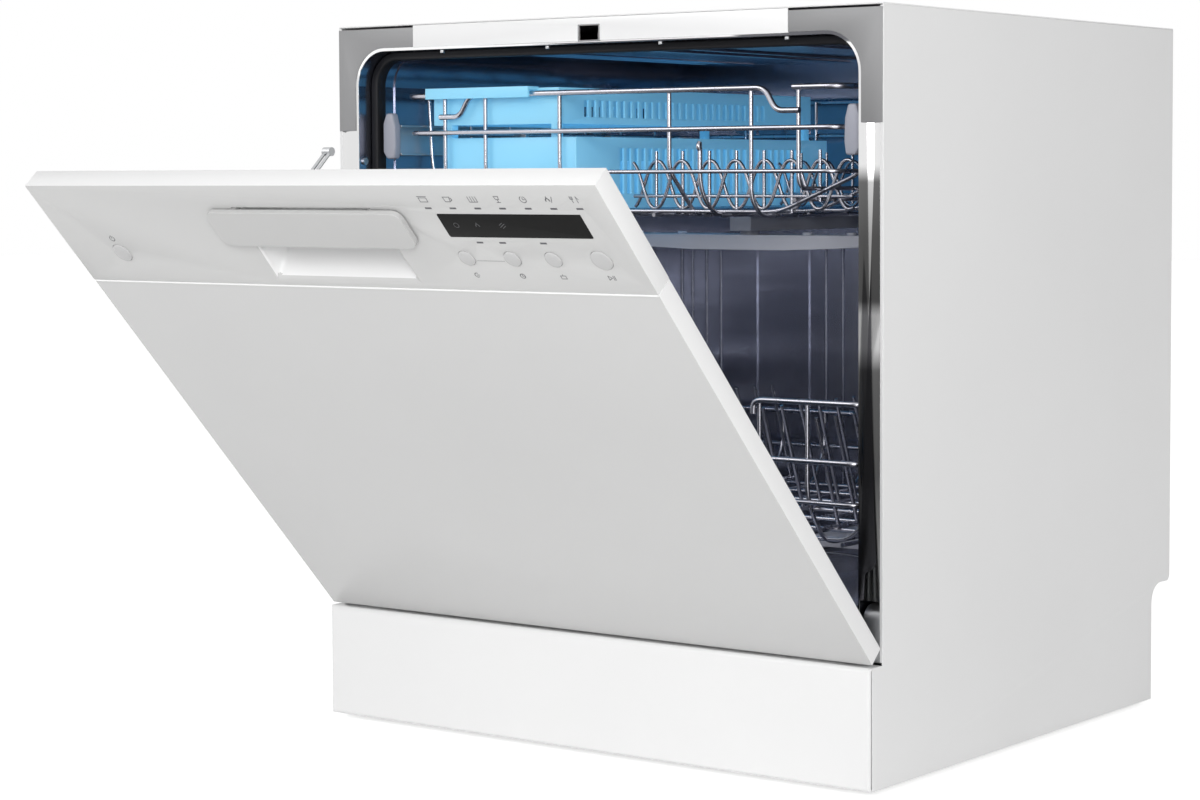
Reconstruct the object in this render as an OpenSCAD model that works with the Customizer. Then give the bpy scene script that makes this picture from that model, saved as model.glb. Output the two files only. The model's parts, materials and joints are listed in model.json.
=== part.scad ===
// Countertop dishwasher with a drop-down door, two wire baskets and a cutlery tray.
// Millimetres. The origin is the centre of the footprint on the worktop, +X runs to the
// right of someone who faces the door, +Y to the rear and +Z up.
// The door's pieces are drawn closed and then turned to the angle at which the door rests.

/* [Cabinet] */
// Width over the side panels
cabinet_w = 550; // [540:1:560]
// Depth from the closed door's face to the rear panel
cabinet_d = 500; // [500:1:520]
// Height over the top panel
cabinet_h = 595; // [595:1:610]
// Height of the plinth's upper edge
plinth_h = 98; // [96:1:98]
// Thickness of the casing sheet
sheet_t = 1.2; // [0.8:0.1:1.4]

/* [Door] */
// Angle of the door from vertical
door_open = 42.9; // [0:0.1:90]
// Thickness of the door's rim
door_t = 16.5; // [15:0.5:17]
// Height of the hinge pin above the worktop
hinge_z = 107; // [106.5:0.1:107.5]
// Distance of the hinge pin behind the closed door's face
hinge_in = 6; // [5.8:0.1:6.2]
// Height of the seam between door panel and control panel
seam_z = 494.5; // [493:0.5:496]
// How far the steel liner stands into the tub
liner_depth = 17.5; // [14:0.5:18]

/* [Control panel] */
// Width of the handle plate
handle_w = 189; // [180:1:195]
// Height of the handle plate
handle_h = 33.5; // [30:0.5:34]
// Diameter of the three small buttons
button_d = 13.5; // [11:0.5:14]
// Diameter of the start and power buttons
big_button_d = 17; // [15:0.5:18]
// How far a button travels
button_travel = 1.5; // [1:0.1:1.5]

/* [Tub] */
// Clear width of the tub
tub_w = 506; // [504:1:506]
// Height of the tub's ceiling
tub_top = 573; // [572:0.5:573]
// Height of the tub's floor
tub_floor = 132; // [131:0.5:132]
// Radius of the tub's upper corners
tub_r = 29; // [25:1:32]
// Place of the tub's rear wall
tub_rear = 213; // [211:0.5:213]

/* [Baskets] */
// Radius of the thin wires
wire_r = 1.75; // [1.5:0.05:1.8]
// Radius of the thick rim wires
rim_r = 2.4; // [2.2:0.1:2.5]
// Height of the upper basket's rim
upper_rim_z = 535; // [533:0.5:536]
// Height of the upper basket's floor wires
upper_floor_z = 435; // [434:0.5:436]
// Height of the lower basket's rim
lower_rim_z = 291; // [285:1:295]
// Height of the lower basket's floor wires
lower_floor_z = 178; // [177:0.5:180]
// Length of the spray arms
arm_l = 380; // [340:5:380]

/* [Hidden] */
$fn = 48;

half_w = cabinet_w/2;
rear_y = cabinet_d/2;
door_y = -cabinet_d/2;          // face of the closed door and of the plinth
front_y = door_y + 18.5;        // front plane of the cabinet
rim_back = door_y + door_t;     // back of the closed door's rim
hinge_y = door_y + hinge_in;
door_half = half_w - 0.5;
door_bottom = hinge_z - 4;
gap = 0.3;                      // play between pieces that move past each other
foot_h = 4;
notch_y = 215;                  // wall of the recess for the hoses at the lower rear
notch_z = 105.7;                // its ceiling
notch_r = 17;
tub_half = tub_w/2;
tub_low_r = 12;
tub_wall = 1;

// A box given by its lowest and highest corner
module block(lo, hi) {
    translate(lo) cube(hi - lo);
}

// A round bar from one point to another
module bar(a, b, r) {
    v = b - a;
    span = norm(v);
    translate(a) rotate([0, acos(v.z/span), atan2(v.y, v.x)]) cylinder(r = r, h = span);
}

// A bent wire through a list of points, eight-sided
module wire(points, r) {
    for (i = [0 : len(points) - 2]) bar(points[i], points[i + 1], r, $fn = 8);
}

// A disc or shaft along X, from x0 to x1
module disc_x(x0, x1, y, z, r) {
    translate([x0, y, z]) rotate([0, 90, 0]) cylinder(r = r, h = x1 - x0);
}

// Stands a flat XZ outline up, from y0 back to y1
module upright(y0, y1) {
    translate([0, y1, 0]) rotate([90, 0, 0]) linear_extrude(y1 - y0) children();
}

// Runs a flat YZ outline along X, from x0 to x1
module along_x(x0, x1) {
    translate([x0, 0, 0]) rotate([90, 0, 90]) linear_extrude(x1 - x0) children();
}

// A rectangle from one corner to the other, its corners rounded
module rounded(lo, hi, r) {
    translate([lo.x + r, lo.y]) square([hi.x - lo.x - 2*r, hi.y - lo.y]);
    translate([lo.x, lo.y + r]) square([hi.x - lo.x, hi.y - lo.y - 2*r]);
    for (x = [lo.x + r, hi.x - r], y = [lo.y + r, hi.y - r]) translate([x, y]) circle(r);
}

// Cross-section of the tub, made larger by a margin
module tub_outline(margin = 0) {
    hw = tub_half + margin;
    rt = tub_r + margin;
    rb = tub_low_r + margin;
    top = tub_top + margin;
    low = tub_floor - margin;
    translate([-hw, low + rb]) square([2*hw, top - rt - low - rb]);
    translate([-hw + rt, top - rt - 1]) square([2*(hw - rt), rt + 1]);
    translate([-hw + rb, low]) square([2*(hw - rb), rb + 1]);
    for (s = [-1, 1]) {
        translate([s*(hw - rt), top - rt]) circle(rt);
        translate([s*(hw - rb), low + rb]) circle(rb);
    }
}

// Draws a piece and its mirror image on the left
module both_sides() {
    children();
    mirror([1, 0, 0]) children();
}

// Turns the door's pieces from closed to the resting angle
module door_pose() {
    translate([0, hinge_y, hinge_z]) rotate([door_open, 0, 0])
        translate([0, -hinge_y, -hinge_z]) children();
}

// CABINET

// Ports in the rear wall of the base: x and z of each axis, and its outer radius
inlet_at = [-180, 56];
inlet_r = 13.2;
drain_at = [60, 58];
drain_r = 9.5;
gland_at = [215, 60];
gland_r = 8;

module port_hole(at, r) {
    translate([at.x, notch_y - 10, at.y]) rotate([-90, 0, 0]) cylinder(r = r + gap, h = 20);
}

module base_tray() {
    wall = 3;
    top = 92;
    front = front_y + 2.5;
    rear = notch_y - 0.5;
    side = half_w - sheet_t - gap;
    color("gainsboro") {
        difference() {
            block([-side, front, foot_h], [side, rear, top]);
            block([-side + wall, front + wall, foot_h + wall], [side - wall, rear - wall, top + 1]);
            port_hole(inlet_at, inlet_r);
            port_hole(drain_at, drain_r);
            port_hole(gland_at, gland_r);
        }
        for (x = [-159, 95]) block([x - 1, front + wall - 1, foot_h + 1], [x + 1, rear - wall + 1, 20]);
    }
}

module plinth() {
    skin = 2.5;
    corner = 4;
    color("white") intersection() {
        along_x(-half_w, half_w) difference() {
            union() {
                translate([door_y + corner, foot_h]) square([14, corner]);
                translate([door_y + corner, plinth_h - corner]) square([14, corner]);
                translate([door_y, foot_h + corner]) square([18, plinth_h - foot_h - 2*corner]);
                for (z = [foot_h + corner, plinth_h - corner]) {
                    translate([door_y + corner, z]) circle(corner);
                }
            }
            translate([door_y + skin, foot_h + 2]) square([20, plinth_h - foot_h - 4]);
        }
        union() {
            intersection() {
                translate([0, 0, foot_h - 1]) linear_extrude(plinth_h) {
                    translate([-half_w + corner, door_y]) square([cabinet_w - 2*corner, corner]);
                    for (s = [-1, 1]) translate([s*(half_w - corner), door_y + corner]) circle(corner);
                }
                block([-half_w, door_y, 0], [half_w, door_y + corner, plinth_h + 10]);
            }
            block([-half_w + 1.5, door_y + corner - 0.5, 0], [half_w - 1.5, front_y - 0.5, 110]);
        }
    }
}

// Outline of a side panel, seen from the side: y across and z up
module side_outline() {
    low = foot_h;
    top = cabinet_h - sheet_t;
    lip_r = 6;
    difference() {
        translate([door_y + 4, low]) square([rear_y - door_y - 4, top - low]);
        translate([door_y, plinth_h]) square([front_y - door_y, top]);
        translate([notch_y + notch_r, 0]) square([rear_y, notch_z]);
        translate([notch_y, 0]) square([notch_r + 1, notch_z - notch_r]);
        difference() {
            translate([notch_y, notch_z - notch_r - 1]) square(notch_r + 1);
            translate([notch_y + notch_r + 1, notch_z - notch_r - 2]) square([1, notch_r + 3]);
            difference() {
                translate([notch_y - 1, notch_z - notch_r]) square([notch_r + 1, notch_r + 1]);
                translate([notch_y + notch_r, notch_z - notch_r]) circle(notch_r);
            }
        }
        difference() {
            translate([rear_y - lip_r, notch_z - 1]) square([lip_r + 1, lip_r + 1]);
            translate([rear_y - lip_r, notch_z + lip_r]) circle(lip_r);
        }
    }
}

module side_panel() {
    hem = 3;
    color("whitesmoke") {
        along_x(half_w - sheet_t, half_w) side_outline();
        block([half_w - hem, front_y, plinth_h + 2], [half_w - 0.5, front_y + sheet_t, cabinet_h - 2]);
    }
}

module side_panel_left() {
    mirror([1, 0, 0]) side_panel();
}

module side_panel_right() {
    side_panel();
}

module top_panel() {
    color("whitesmoke")
        block([-half_w, front_y, cabinet_h - sheet_t], [half_w, rear_y, cabinet_h]);
}

module rear_panel() {
    side = half_w - sheet_t - 0.2;
    color("lightgray") difference() {
        union() {
            block([-side, rear_y - sheet_t, notch_z], [side, rear_y, cabinet_h - sheet_t - 0.1]);
            block([-side, notch_y + 0.2, notch_z], [side, rear_y, notch_z + sheet_t]);
            block([-side, notch_y + 0.2, 86], [side, notch_y + 0.2 + sheet_t, notch_z + sheet_t]);
        }
        for (x = [-90 : 20 : 90]) block([x - 6, rear_y - 2, 500], [x + 6, rear_y + 1, 504]);
    }
}

// Strike hole in the strip above the opening
strike_lo = [-12, 575.6];
strike_hi = [7.5, 587];
frame_side = half_w - 3;
hinge_slot_z = 146;

module strike_hole() {
    block([strike_lo.x, front_y - 2, strike_lo.y], [strike_hi.x, front_y + 4, strike_hi.y]);
}

module front_frame() {
    color("silver") difference() {
        upright(front_y, front_y + 1) difference() {
            translate([-frame_side, plinth_h]) square([2*frame_side, cabinet_h - 3 - plinth_h]);
            tub_outline();
        }
        strike_hole();
        both_sides() block([tub_half + 1, front_y - 1, 0], [half_w, front_y + 2, hinge_slot_z]);
    }
}

plate_t = 0.8;
plate_inner = 190;
plate_low = 506;

module corner_plates() {
    color("darkgray") both_sides() upright(front_y - plate_t, front_y) difference() {
        translate([plate_inner, plate_low]) {
            square([half_w - 0.5 - plate_inner, cabinet_h - 3 - plate_low]);
        }
        tub_outline(2.5);
    }
}

module top_strip() {
    color("white") difference() {
        block([-plate_inner + 0.2, front_y - plate_t, tub_top + 2],
              [plate_inner - 0.2, front_y, cabinet_h - sheet_t - 0.2]);
        strike_hole();
    }
}

// TUB AND WHAT STANDS IN IT

arm_y = -10;            // axis of both spray arms
sump_x = 30;
sump_r = 84;
cup_x = 56;
cup_r = 22;
salt_at = [150, 130];
salt_r = 22;
float_at = [-172, -150];
float_r = 15;
track_top = tub_floor + 6;
track_x = [219, 240];
rail_z = 498;
roller_r = 10.6;
roller_bore = 2.55;
pin_r = 2.5;
tub_roller_y = [-190, -75];
rib_y = -186;           // bead round the tub behind its front collar

module tub() {
    color("slategray") difference() {
        union() {
            upright(front_y + 1, tub_rear) difference() {
                tub_outline(tub_wall);
                tub_outline();
            }
            upright(tub_rear, tub_rear + tub_wall) tub_outline(tub_wall);
            both_sides() {
                block([track_x[0], -220, tub_floor - 0.5], [track_x[1], 200, track_top]);
                for (y = tub_roller_y) disc_x(237, tub_half + 0.5, y, rail_z, pin_r);
            }
            upright(rib_y, rib_y + 2) difference() {
                tub_outline(0.2);
                tub_outline(-1.2);
            }
            for (x = [-150 : 60 : 150]) {
                block([x - 5, tub_rear - 2, 190], [x + 5, tub_rear + 0.5, 520]);
            }
        }
        translate([sump_x, arm_y, tub_floor - 5]) cylinder(r = sump_r, h = 10);
        translate([salt_at.x, salt_at.y, tub_floor - 5]) cylinder(r = salt_r - 4, h = 10);
        translate([float_at.x, float_at.y, tub_floor - 5]) cylinder(r = 5, h = 10);
    }
}

module door_gasket() {
    seal_y = [front_y + 15.5, front_y + 27.5];
    lip = 7;
    color("black") difference() {
        upright(seal_y[0], seal_y[1]) difference() {
            tub_outline(-0.1);
            tub_outline(-lip);
        }
        block([-tub_half, seal_y[0] - 1, 0], [tub_half, seal_y[1] + 1, 150]);
    }
}

// HINGES

hinge_pin_r = 2;
eye_r = 4;
nose_x = [262.2, 265.8];
arm_x = [258.5, 269.5];

module hinge_brackets() {
    front = front_y + 2.5;
    dome = 12;
    top = 142;
    color("lightgray") both_sides() {
        along_x(256, 271) {
            translate([front + dome, 99]) square([22, top - 99]);
            translate([front, 99]) square([dome + 1, top - dome - 99]);
            translate([front + dome, top - dome]) circle(dome);
        }
        block([nose_x[0], hinge_y, hinge_z - eye_r], [nose_x[1], front + 1, hinge_z + eye_r]);
        disc_x(nose_x[0], nose_x[1], hinge_y, hinge_z, eye_r);
        disc_x(arm_x[0] - 0.5, arm_x[1] + 0.5, hinge_y, hinge_z, hinge_pin_r);
    }
}

module hinge_arms() {
    arm_t = 3;
    arm_top = 200;
    color("dimgray") door_pose() both_sides() difference() {
        union() {
            for (x = [arm_x[0], arm_x[1] - arm_t]) {
                block([x, hinge_y - 3.8, hinge_z], [x + arm_t, rim_back - 2.5, arm_top]);
                disc_x(x, x + arm_t, hinge_y, hinge_z, eye_r);
            }
            block([arm_x[0] + 1, rim_back - 4, 150], [arm_x[1] - 1, rim_back - 2.5, arm_top]);
        }
        disc_x(arm_x[0] - 1, arm_x[1] + 1, hinge_y, hinge_z, hinge_pin_r + 0.05);
    }
}

module door_springs() {
    spring_x = 262;
    spring_r = 6;
    color("gray") both_sides() {
        translate([spring_x, -190, 60]) rotate([-90, 0, 0]) difference() {
            cylinder(r = spring_r, h = 110);
            translate([0, 0, -1]) cylinder(r = spring_r - 1.6, h = 112);
        }
        block([spring_x - spring_r, -80, 54], [half_w - sheet_t - gap - 3, -78, 66]);
        bar([spring_x, -189, 64.5], [spring_x, -200, 98], 1.2);
    }
}

// BASE

module sump() {
    depth = 56;
    wall = 2.5;
    rim_z = tub_floor - tub_wall;
    color("gray") {
        difference() {
            translate([sump_x, arm_y, rim_z - depth]) cylinder(r1 = 46, r2 = sump_r + 3, h = depth);
            translate([sump_x, arm_y, rim_z - depth + wall]) {
                cylinder(r1 = 44, r2 = sump_r, h = depth - wall + 0.1);
            }
        }
        translate([0, arm_y, rim_z - depth + 1]) cylinder(r = 12, h = depth + 20);
        translate([0, arm_y, rim_z]) cylinder(r = 10, h = 35);
    }
}

module filter_plate() {
    color("silver") difference() {
        translate([sump_x, arm_y, tub_floor - 3]) cylinder(r = sump_r - 1.7, h = 1.5);
        translate([0, arm_y, tub_floor - 5]) cylinder(r = 12.5, h = 6);
        translate([cup_x, arm_y, tub_floor - 5]) cylinder(r = cup_r + 0.5, h = 6);
    }
}

module filter_cup() {
    depth = 38;
    top = tub_floor - 1;
    color("gray") {
        difference() {
            translate([cup_x, arm_y, top - depth]) cylinder(r = cup_r, h = depth);
            translate([cup_x, arm_y, top - depth + 2]) cylinder(r = cup_r - 2, h = depth);
        }
        difference() {
            translate([cup_x, arm_y, top]) cylinder(r = cup_r + 3, h = 2);
            translate([cup_x, arm_y, top - 1]) cylinder(r = cup_r - 2, h = 4);
        }
        block([cup_x - cup_r + 1, arm_y - 2, top - 12], [cup_x + cup_r - 1, arm_y + 2, top + 7]);
    }
}

module salt_cap() {
    color("white") {
        translate([salt_at.x, salt_at.y, tub_floor + gap]) cylinder(r = salt_r, h = 7);
        translate([salt_at.x, salt_at.y, tub_floor - 6]) cylinder(r = salt_r - 5, h = 8);
        block([salt_at.x - 14, salt_at.y - 2.5, tub_floor + 6],
              [salt_at.x + 14, salt_at.y + 2.5, tub_floor + 12]);
    }
}

module float_dome() {
    color("white") difference() {
        union() {
            translate([float_at.x, float_at.y, tub_floor + gap]) cylinder(r = float_r, h = 15);
            translate([float_at.x, float_at.y, tub_floor + gap + 15]) sphere(float_r - 0.5);
            translate([float_at.x, float_at.y, tub_floor - 30]) cylinder(r = 3, h = 40);
        }
        difference() {
            translate([float_at.x, float_at.y, tub_floor]) cylinder(r = float_r - 2, h = 11);
            translate([float_at.x, float_at.y, tub_floor - 1]) cylinder(r = 3, h = 13);
        }
    }
}

floor_z = foot_h + 3;

module wash_pump() {
    color("dimgray") {
        translate([-125, -80, 50]) rotate([0, 90, 0]) cylinder(r = 38, h = 95);
        translate([-150, -80, 50]) rotate([0, 90, 0]) cylinder(r = 42, h = 30);
        block([-140, -110, floor_z], [-50, -50, 20]);
        bar([-135, -60, 84], [-135, -20, 90], 12);
    }
}

module drain_pump() {
    bore_r = 7.5;
    color("gray") difference() {
        union() {
            translate([drain_at.x, 120, drain_at.y]) rotate([-90, 0, 0]) cylinder(r = 32, h = 55);
            block([drain_at.x - 25, 125, floor_z], [drain_at.x + 25, 165, 40]);
            translate([drain_at.x, 170, drain_at.y]) rotate([-90, 0, 0]) {
                cylinder(r = drain_r, h = notch_y + 27 - 170);
            }
            translate([drain_at.x, notch_y, drain_at.y]) rotate([-90, 0, 0]) cylinder(r = 15, h = 3);
        }
        translate([drain_at.x, 172, drain_at.y]) rotate([-90, 0, 0]) cylinder(r = bore_r, h = 80);
    }
}

module softener() {
    color("ghostwhite") {
        block([105, 40, floor_z + 5], [215, 110, 110]);
        translate([salt_at.x, salt_at.y, 70]) difference() {
            cylinder(r = salt_r, h = tub_floor - tub_wall - 70.2);
            translate([0, 0, 5]) cylinder(r = salt_r - 3.5, h = 80);
        }
        block([130, 95, 60], [170, 120, 75]);
    }
}

module inlet_valve() {
    color("white") difference() {
        union() {
            translate([inlet_at.x, notch_y - 45, inlet_at.y]) rotate([-90, 0, 0]) cylinder(r = 17, h = 41.5);
            translate([inlet_at.x, notch_y - 4, inlet_at.y]) rotate([-90, 0, 0]) {
                cylinder(r = inlet_r, h = 22);
            }
            translate([inlet_at.x, notch_y, inlet_at.y]) rotate([-90, 0, 0]) cylinder(r = 20, h = 4);
            block([inlet_at.x - 14, notch_y - 42, floor_z], [inlet_at.x + 14, notch_y - 12, 50]);
        }
        translate([inlet_at.x, notch_y - 20, inlet_at.y]) rotate([-90, 0, 0]) cylinder(r = 9, h = 60);
    }
}

module cord_gland() {
    color("dimgray") difference() {
        union() {
            translate([gland_at.x, notch_y, gland_at.y]) rotate([-90, 0, 0]) cylinder(r = 11, h = 4);
            translate([gland_at.x, notch_y - 10, gland_at.y]) rotate([-90, 0, 0]) {
                cylinder(r = gland_r, h = 20);
            }
        }
        translate([gland_at.x, notch_y - 12, gland_at.y]) rotate([-90, 0, 0]) cylinder(r = 3.8, h = 30);
    }
}

module feet() {
    foot_x = 235;
    color("dimgray") for (x = [-foot_x, foot_x], y = [-205, 185]) {
        translate([x, y, 0]) cylinder(r1 = 13, r2 = 15, h = foot_h);
    }
}

module case_screws() {
    color("silver") {
        for (x = [-255, 255], z = [125, 340, 575]) translate([x, rear_y, z]) rotate([-90, 0, 0]) {
            cylinder(r = 4, h = 1.6);
        }
        both_sides() disc_x(tub_half - 1.6, tub_half - 0.02, front_y + 6.9, 480, 3);
    }
}

module feed_pipe() {
    half = 16;
    color("gray") {
        block([-half, tub_rear - 22, tub_floor + 1], [half, tub_rear - 2.2, 432]);
        block([-half, 78, tub_floor + 0.5], [half, tub_rear - 12, tub_floor + 10]);
    }
}

// DOOR

// Steps along the face of the door, measured up from its lower edge
function up(s) = door_bottom + s;

liner_lap = 1.8;                // how deep the liner's flange lies in the door's rim

module door_panel() {
    color("gainsboro") door_pose() difference() {
        block([-door_half, door_y, door_bottom], [door_half, rim_back, seam_z]);
        block([-door_half + sheet_t, door_y + sheet_t, door_bottom + sheet_t],
              [door_half - sheet_t, rim_back + 1, seam_z - sheet_t]);
        block([-door_half + sheet_t, rim_back - liner_lap, 200], [door_half - sheet_t, rim_back + 1, cabinet_h]);
        both_sides() block([256, door_y + sheet_t, door_bottom - 1], [272, rim_back + 1, door_bottom + 2]);
    }
}

liner_back = rim_back + liner_depth;
liner_half = 238;
liner_z = [140, 556];
pocket_x = [-70, 66];
window_x = [123, 248];
window_z = [up(443.5), up(465.5)];
light_x = [119.3, 141.4, 163.4, 185.1, 207.2, 228.9, 250.7];
low_light_x = [146.7, 166.7, 202.3];
button_z = up(423.3);
button_x = [125.9, 166.7, 202.4, 243.6];
power_x = -219.7;
power_z = up(422);
handle_x = [-96, -96 + handle_w];
handle_z = [up(436), up(436) + handle_h];
handle_pivot = [door_y + 4, handle_z[1] - 1.5];
handle_pin_r = 2;
recess_over = 1.8;              // how far the recess reaches over the handle plate

// Profile of the finger recess: its front, sloping floor and the step behind the handle
function recess(grow) = [
    [door_y - 1 + grow, up(399) - grow],
    [door_y + 24 + grow, up(409) - grow],
    [door_y + 26 + grow, up(442) + grow],
    [door_y + 11 + grow, up(448) + grow],
    [door_y + 11 + grow, handle_z[1] + recess_over + grow],
    [door_y - 1 + grow, handle_z[1] + recess_over + grow]];

// Row of lamp slots, each grown by some play, from front to back
module light_row(xs, z, play, front, back) {
    w = 2.75 + play;
    for (x = xs) block([x - w, front, z - play], [x + w, back, z + 1.4 + play]);
}

module light_slots(play, front, back) {
    light_row(light_x, up(470), play, front, back);
    light_row(low_light_x, up(437.9), play, front, back);
}

module button_hole(x, z, d) {
    translate([x, door_y + 6, z]) rotate([90, 0, 0]) cylinder(r = d/2 + gap, h = 8);
}

module control_panel() {
    skin = 2.5;
    bottom = seam_z + 0.4;
    top = cabinet_h;
    color("whitesmoke") door_pose() difference() {
        union() {
            difference() {
                block([-door_half, door_y, bottom], [door_half, rim_back, top]);
                block([-door_half + skin, door_y + skin, bottom + skin],
                      [door_half - skin, rim_back + 1, top - skin]);
                block([-door_half + skin, rim_back - liner_lap, bottom - 1],
                      [door_half - skin, rim_back + 1, top - skin]);
            }
            intersection() {
                along_x(pocket_x[0] - skin, pocket_x[1] + skin) polygon(recess(skin));
                block([-100, door_y, 0], [100, 0, top]);
            }
        }
        along_x(pocket_x[0], pocket_x[1]) polygon(recess(0));
        for (x = pocket_x) disc_x(x - 5, x + 5, handle_pivot.x, handle_pivot.y, handle_pin_r + 0.05);
        block([window_x[0], door_y - 1, window_z[0]], [window_x[1], door_y + skin + 1, window_z[1]]);
        light_slots(0.05, door_y - 1, door_y + skin + 1);
        for (x = button_x) button_hole(x, button_z, x == button_x[3] ? big_button_d : button_d);
        button_hole(power_x, power_z, big_button_d);
    }
}

module door_liner() {
    flange = 1.2;
    back = rim_back - 0.3;
    color("silver") door_pose() difference() {
        union() {
            block([-door_half + 3, back - flange, door_bottom + 2], [door_half - 3, back, cabinet_h - 3]);
            upright(back - flange, liner_back) {
                rounded([-liner_half, liner_z[0]], [liner_half, liner_z[1]], 25);
            }
        }
        upright(back - flange - 1, liner_back - flange) {
            rounded([-liner_half + flange, liner_z[0] + flange],
                    [liner_half - flange, liner_z[1] - flange], 24);
        }
        both_sides() block([255, back - 3, 0], [280, back + 1, 150]);
        block([-12, back - 3, 570], [8, back + 1, 590]);
        block([dispenser_x[0] - 0.1, door_y + 10, dispenser_z[0] - 0.1],
              [dispenser_x[1] + 0.1, liner_back + 1, dispenser_z[1] + 0.1]);
    }
}

module display_window() {
    color("dimgray") door_pose()
        block([window_x[0] + 0.05, door_y - 0.2, window_z[0] + 0.05],
              [window_x[1] - 0.05, door_y + 1.6, window_z[1] - 0.05]);
}

module indicator_lights() {
    color("darkslategray") door_pose() light_slots(0, door_y - 0.1, door_y + 3);
}

pad_y = door_y + 8.2;           // switch pads behind the buttons

module control_board() {
    board_y = pad_y + 1.4;
    color("darkgreen") door_pose() {
        block([96, board_y, up(402)], [262, board_y + 1.6, up(486)]);
        for (x = button_x) block([x - 3, pad_y, button_z - 3], [x + 3, board_y + 0.1, button_z + 3]);
        block([window_x[0] + 4, door_y + 3, window_z[0] + 2],
              [window_x[1] - 4, board_y + 0.1, window_z[1] - 2]);
        block([112, board_y + 1.5, up(410)], [140, board_y + 4, up(430)]);
        block([-235, board_y, up(410)], [-205, board_y + 1.6, up(436)]);
    }
}

module push_button(x, z, d) {
    proud = button_travel + 0.1;
    stem_end = pad_y - button_travel - 0.2;
    dome_r = 26;
    door_pose() {
        intersection() {
            translate([x, door_y - proud + dome_r, z]) sphere(dome_r, $fn = 96);
            translate([x, door_y + 5, z]) rotate([90, 0, 0]) cylinder(r = d/2, h = 10);
        }
        translate([x, stem_end, z]) rotate([90, 0, 0]) cylinder(r = 3, h = 3);
    }
}

module power_button() {
    color("white") push_button(power_x, power_z, big_button_d);
}

module programme_button() {
    color("white") push_button(button_x[0], button_z, button_d);
}

module delay_button() {
    color("white") push_button(button_x[1], button_z, button_d);
}

module option_button() {
    color("white") push_button(button_x[2], button_z, button_d);
}

module start_button() {
    color("white") push_button(button_x[3], button_z, big_button_d);
}

module handle_plate() {
    plate = 4.2;
    proud = door_y - 0.8;
    ear = 3;
    color("whitesmoke") door_pose() {
        upright(proud - plate, proud) rounded([handle_x[0], handle_z[0]], [handle_x[1], handle_z[1]], 8);
        for (x = [pocket_x[0] + gap, pocket_x[1] - gap - ear]) {
            block([x, proud - 1, handle_pivot.y - 9], [x + ear, handle_pivot.x, handle_pivot.y + 1]);
            disc_x(x, x + ear, handle_pivot.x, handle_pivot.y, 3);
        }
        disc_x(pocket_x[0] - 2, pocket_x[0] + 2, handle_pivot.x, handle_pivot.y, handle_pin_r);
        disc_x(pocket_x[1] - 2, pocket_x[1] + 2, handle_pivot.x, handle_pivot.y, handle_pin_r);
    }
}

latch_x = [-6, 1.5];
latch_pivot = [rim_back - 4.5, 581.5];

module latch_hook() {
    tip = door_y + 53;
    color("silver") door_pose() {
        disc_x(latch_x[0], latch_x[1], latch_pivot.x, latch_pivot.y, 3.4);
        block([latch_x[0], latch_pivot.x, latch_pivot.y - 1.5], [latch_x[1], tip, latch_pivot.y + 2]);
        block([latch_x[0], tip - 7, latch_pivot.y - 3.5], [latch_x[1], tip, latch_pivot.y + 3.5]);
    }
}

// DISPENSER, DRAWN ON THE LINER OF THE CLOSED DOOR

dispenser_x = [-78, 62];
dispenser_z = [250, 372];
cup_lo = [-70, 262];
cup_hi = [-2, 360];
dispenser_face = liner_back + 2;
lid_hinge = [dispenser_face + 2.4, cup_lo.y - 2];
rinse_at = [34, 300];
rinse_r = 16;

module dispenser_housing() {
    back = door_y + 14;
    color("gray") door_pose() difference() {
        union() {
            block([dispenser_x[0], back, dispenser_z[0]], [dispenser_x[1], liner_back, dispenser_z[1]]);
            upright(liner_back, dispenser_face) {
                rounded([dispenser_x[0] - 5, dispenser_z[0] - 5],
                        [dispenser_x[1] + 5, dispenser_z[1] + 5], 10);
            }
        }
        block([cup_lo.x, back + 2, cup_lo.y], [cup_hi.x, dispenser_face + 1, cup_hi.y]);
        translate([rinse_at.x, dispenser_face + 1, rinse_at.y]) rotate([90, 0, 0]) {
            cylinder(r = rinse_r - 3, h = 14);
        }
    }
}

module dispenser_lid() {
    lid_t = 1.8;
    color("dimgray") door_pose() {
        upright(dispenser_face + gap, dispenser_face + gap + lid_t) {
            rounded([cup_lo.x - 4, lid_hinge.y], [cup_hi.x + 4, cup_hi.y + 4], 5);
        }
        disc_x(cup_lo.x + 4, cup_hi.x - 4, lid_hinge.x, lid_hinge.y, 2.1);
    }
}

module rinse_aid_cap() {
    color("lightsteelblue") door_pose() {
        translate([rinse_at.x, dispenser_face + gap + 3, rinse_at.y]) rotate([90, 0, 0]) {
            cylinder(r = rinse_r, h = 3);
        }
        translate([rinse_at.x, dispenser_face + 1, rinse_at.y]) rotate([90, 0, 0]) {
            cylinder(r = rinse_r - 3 - gap, h = 10);
        }
        block([rinse_at.x - 12, dispenser_face + 3, rinse_at.y - 2],
              [rinse_at.x + 12, dispenser_face + 6, rinse_at.y + 2]);
    }
}

// UPPER BASKET

upper_half = 225;
upper_low_left = 197;   // the floor is level up to here, and slopes up beyond it
upper_low_right = 142;
upper_front = -206;     // plane of the front's level wires
upper_rear = 180;
upper_mid_z = 503.7;
upper_low_z = 470;
cross = 2*wire_r - 0.5; // distance between crossing wires, so that they bite into each other
fence_x = [56, 135.5, 180];
upper_pin_y = [-55, 70];

// Height of the hoops over the floor's right slope
function slope_z(x) =
    upper_floor_z + cross
    + (upper_low_z - upper_floor_z - cross)*(x - upper_low_right)/(upper_half - 4 - upper_low_right);

// A wire that goes down one fence, along the floor and up the other, seen along X or Y
module upper_hoop(y) {
    z = upper_floor_z + cross;
    wire([[-upper_half, y, upper_rim_z], [-upper_half + 4, y, upper_low_z], [-upper_low_left, y, z],
          [upper_low_right, y, z], [upper_half - 4, y, upper_low_z], [upper_half, y, upper_rim_z]], wire_r);
}

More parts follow.
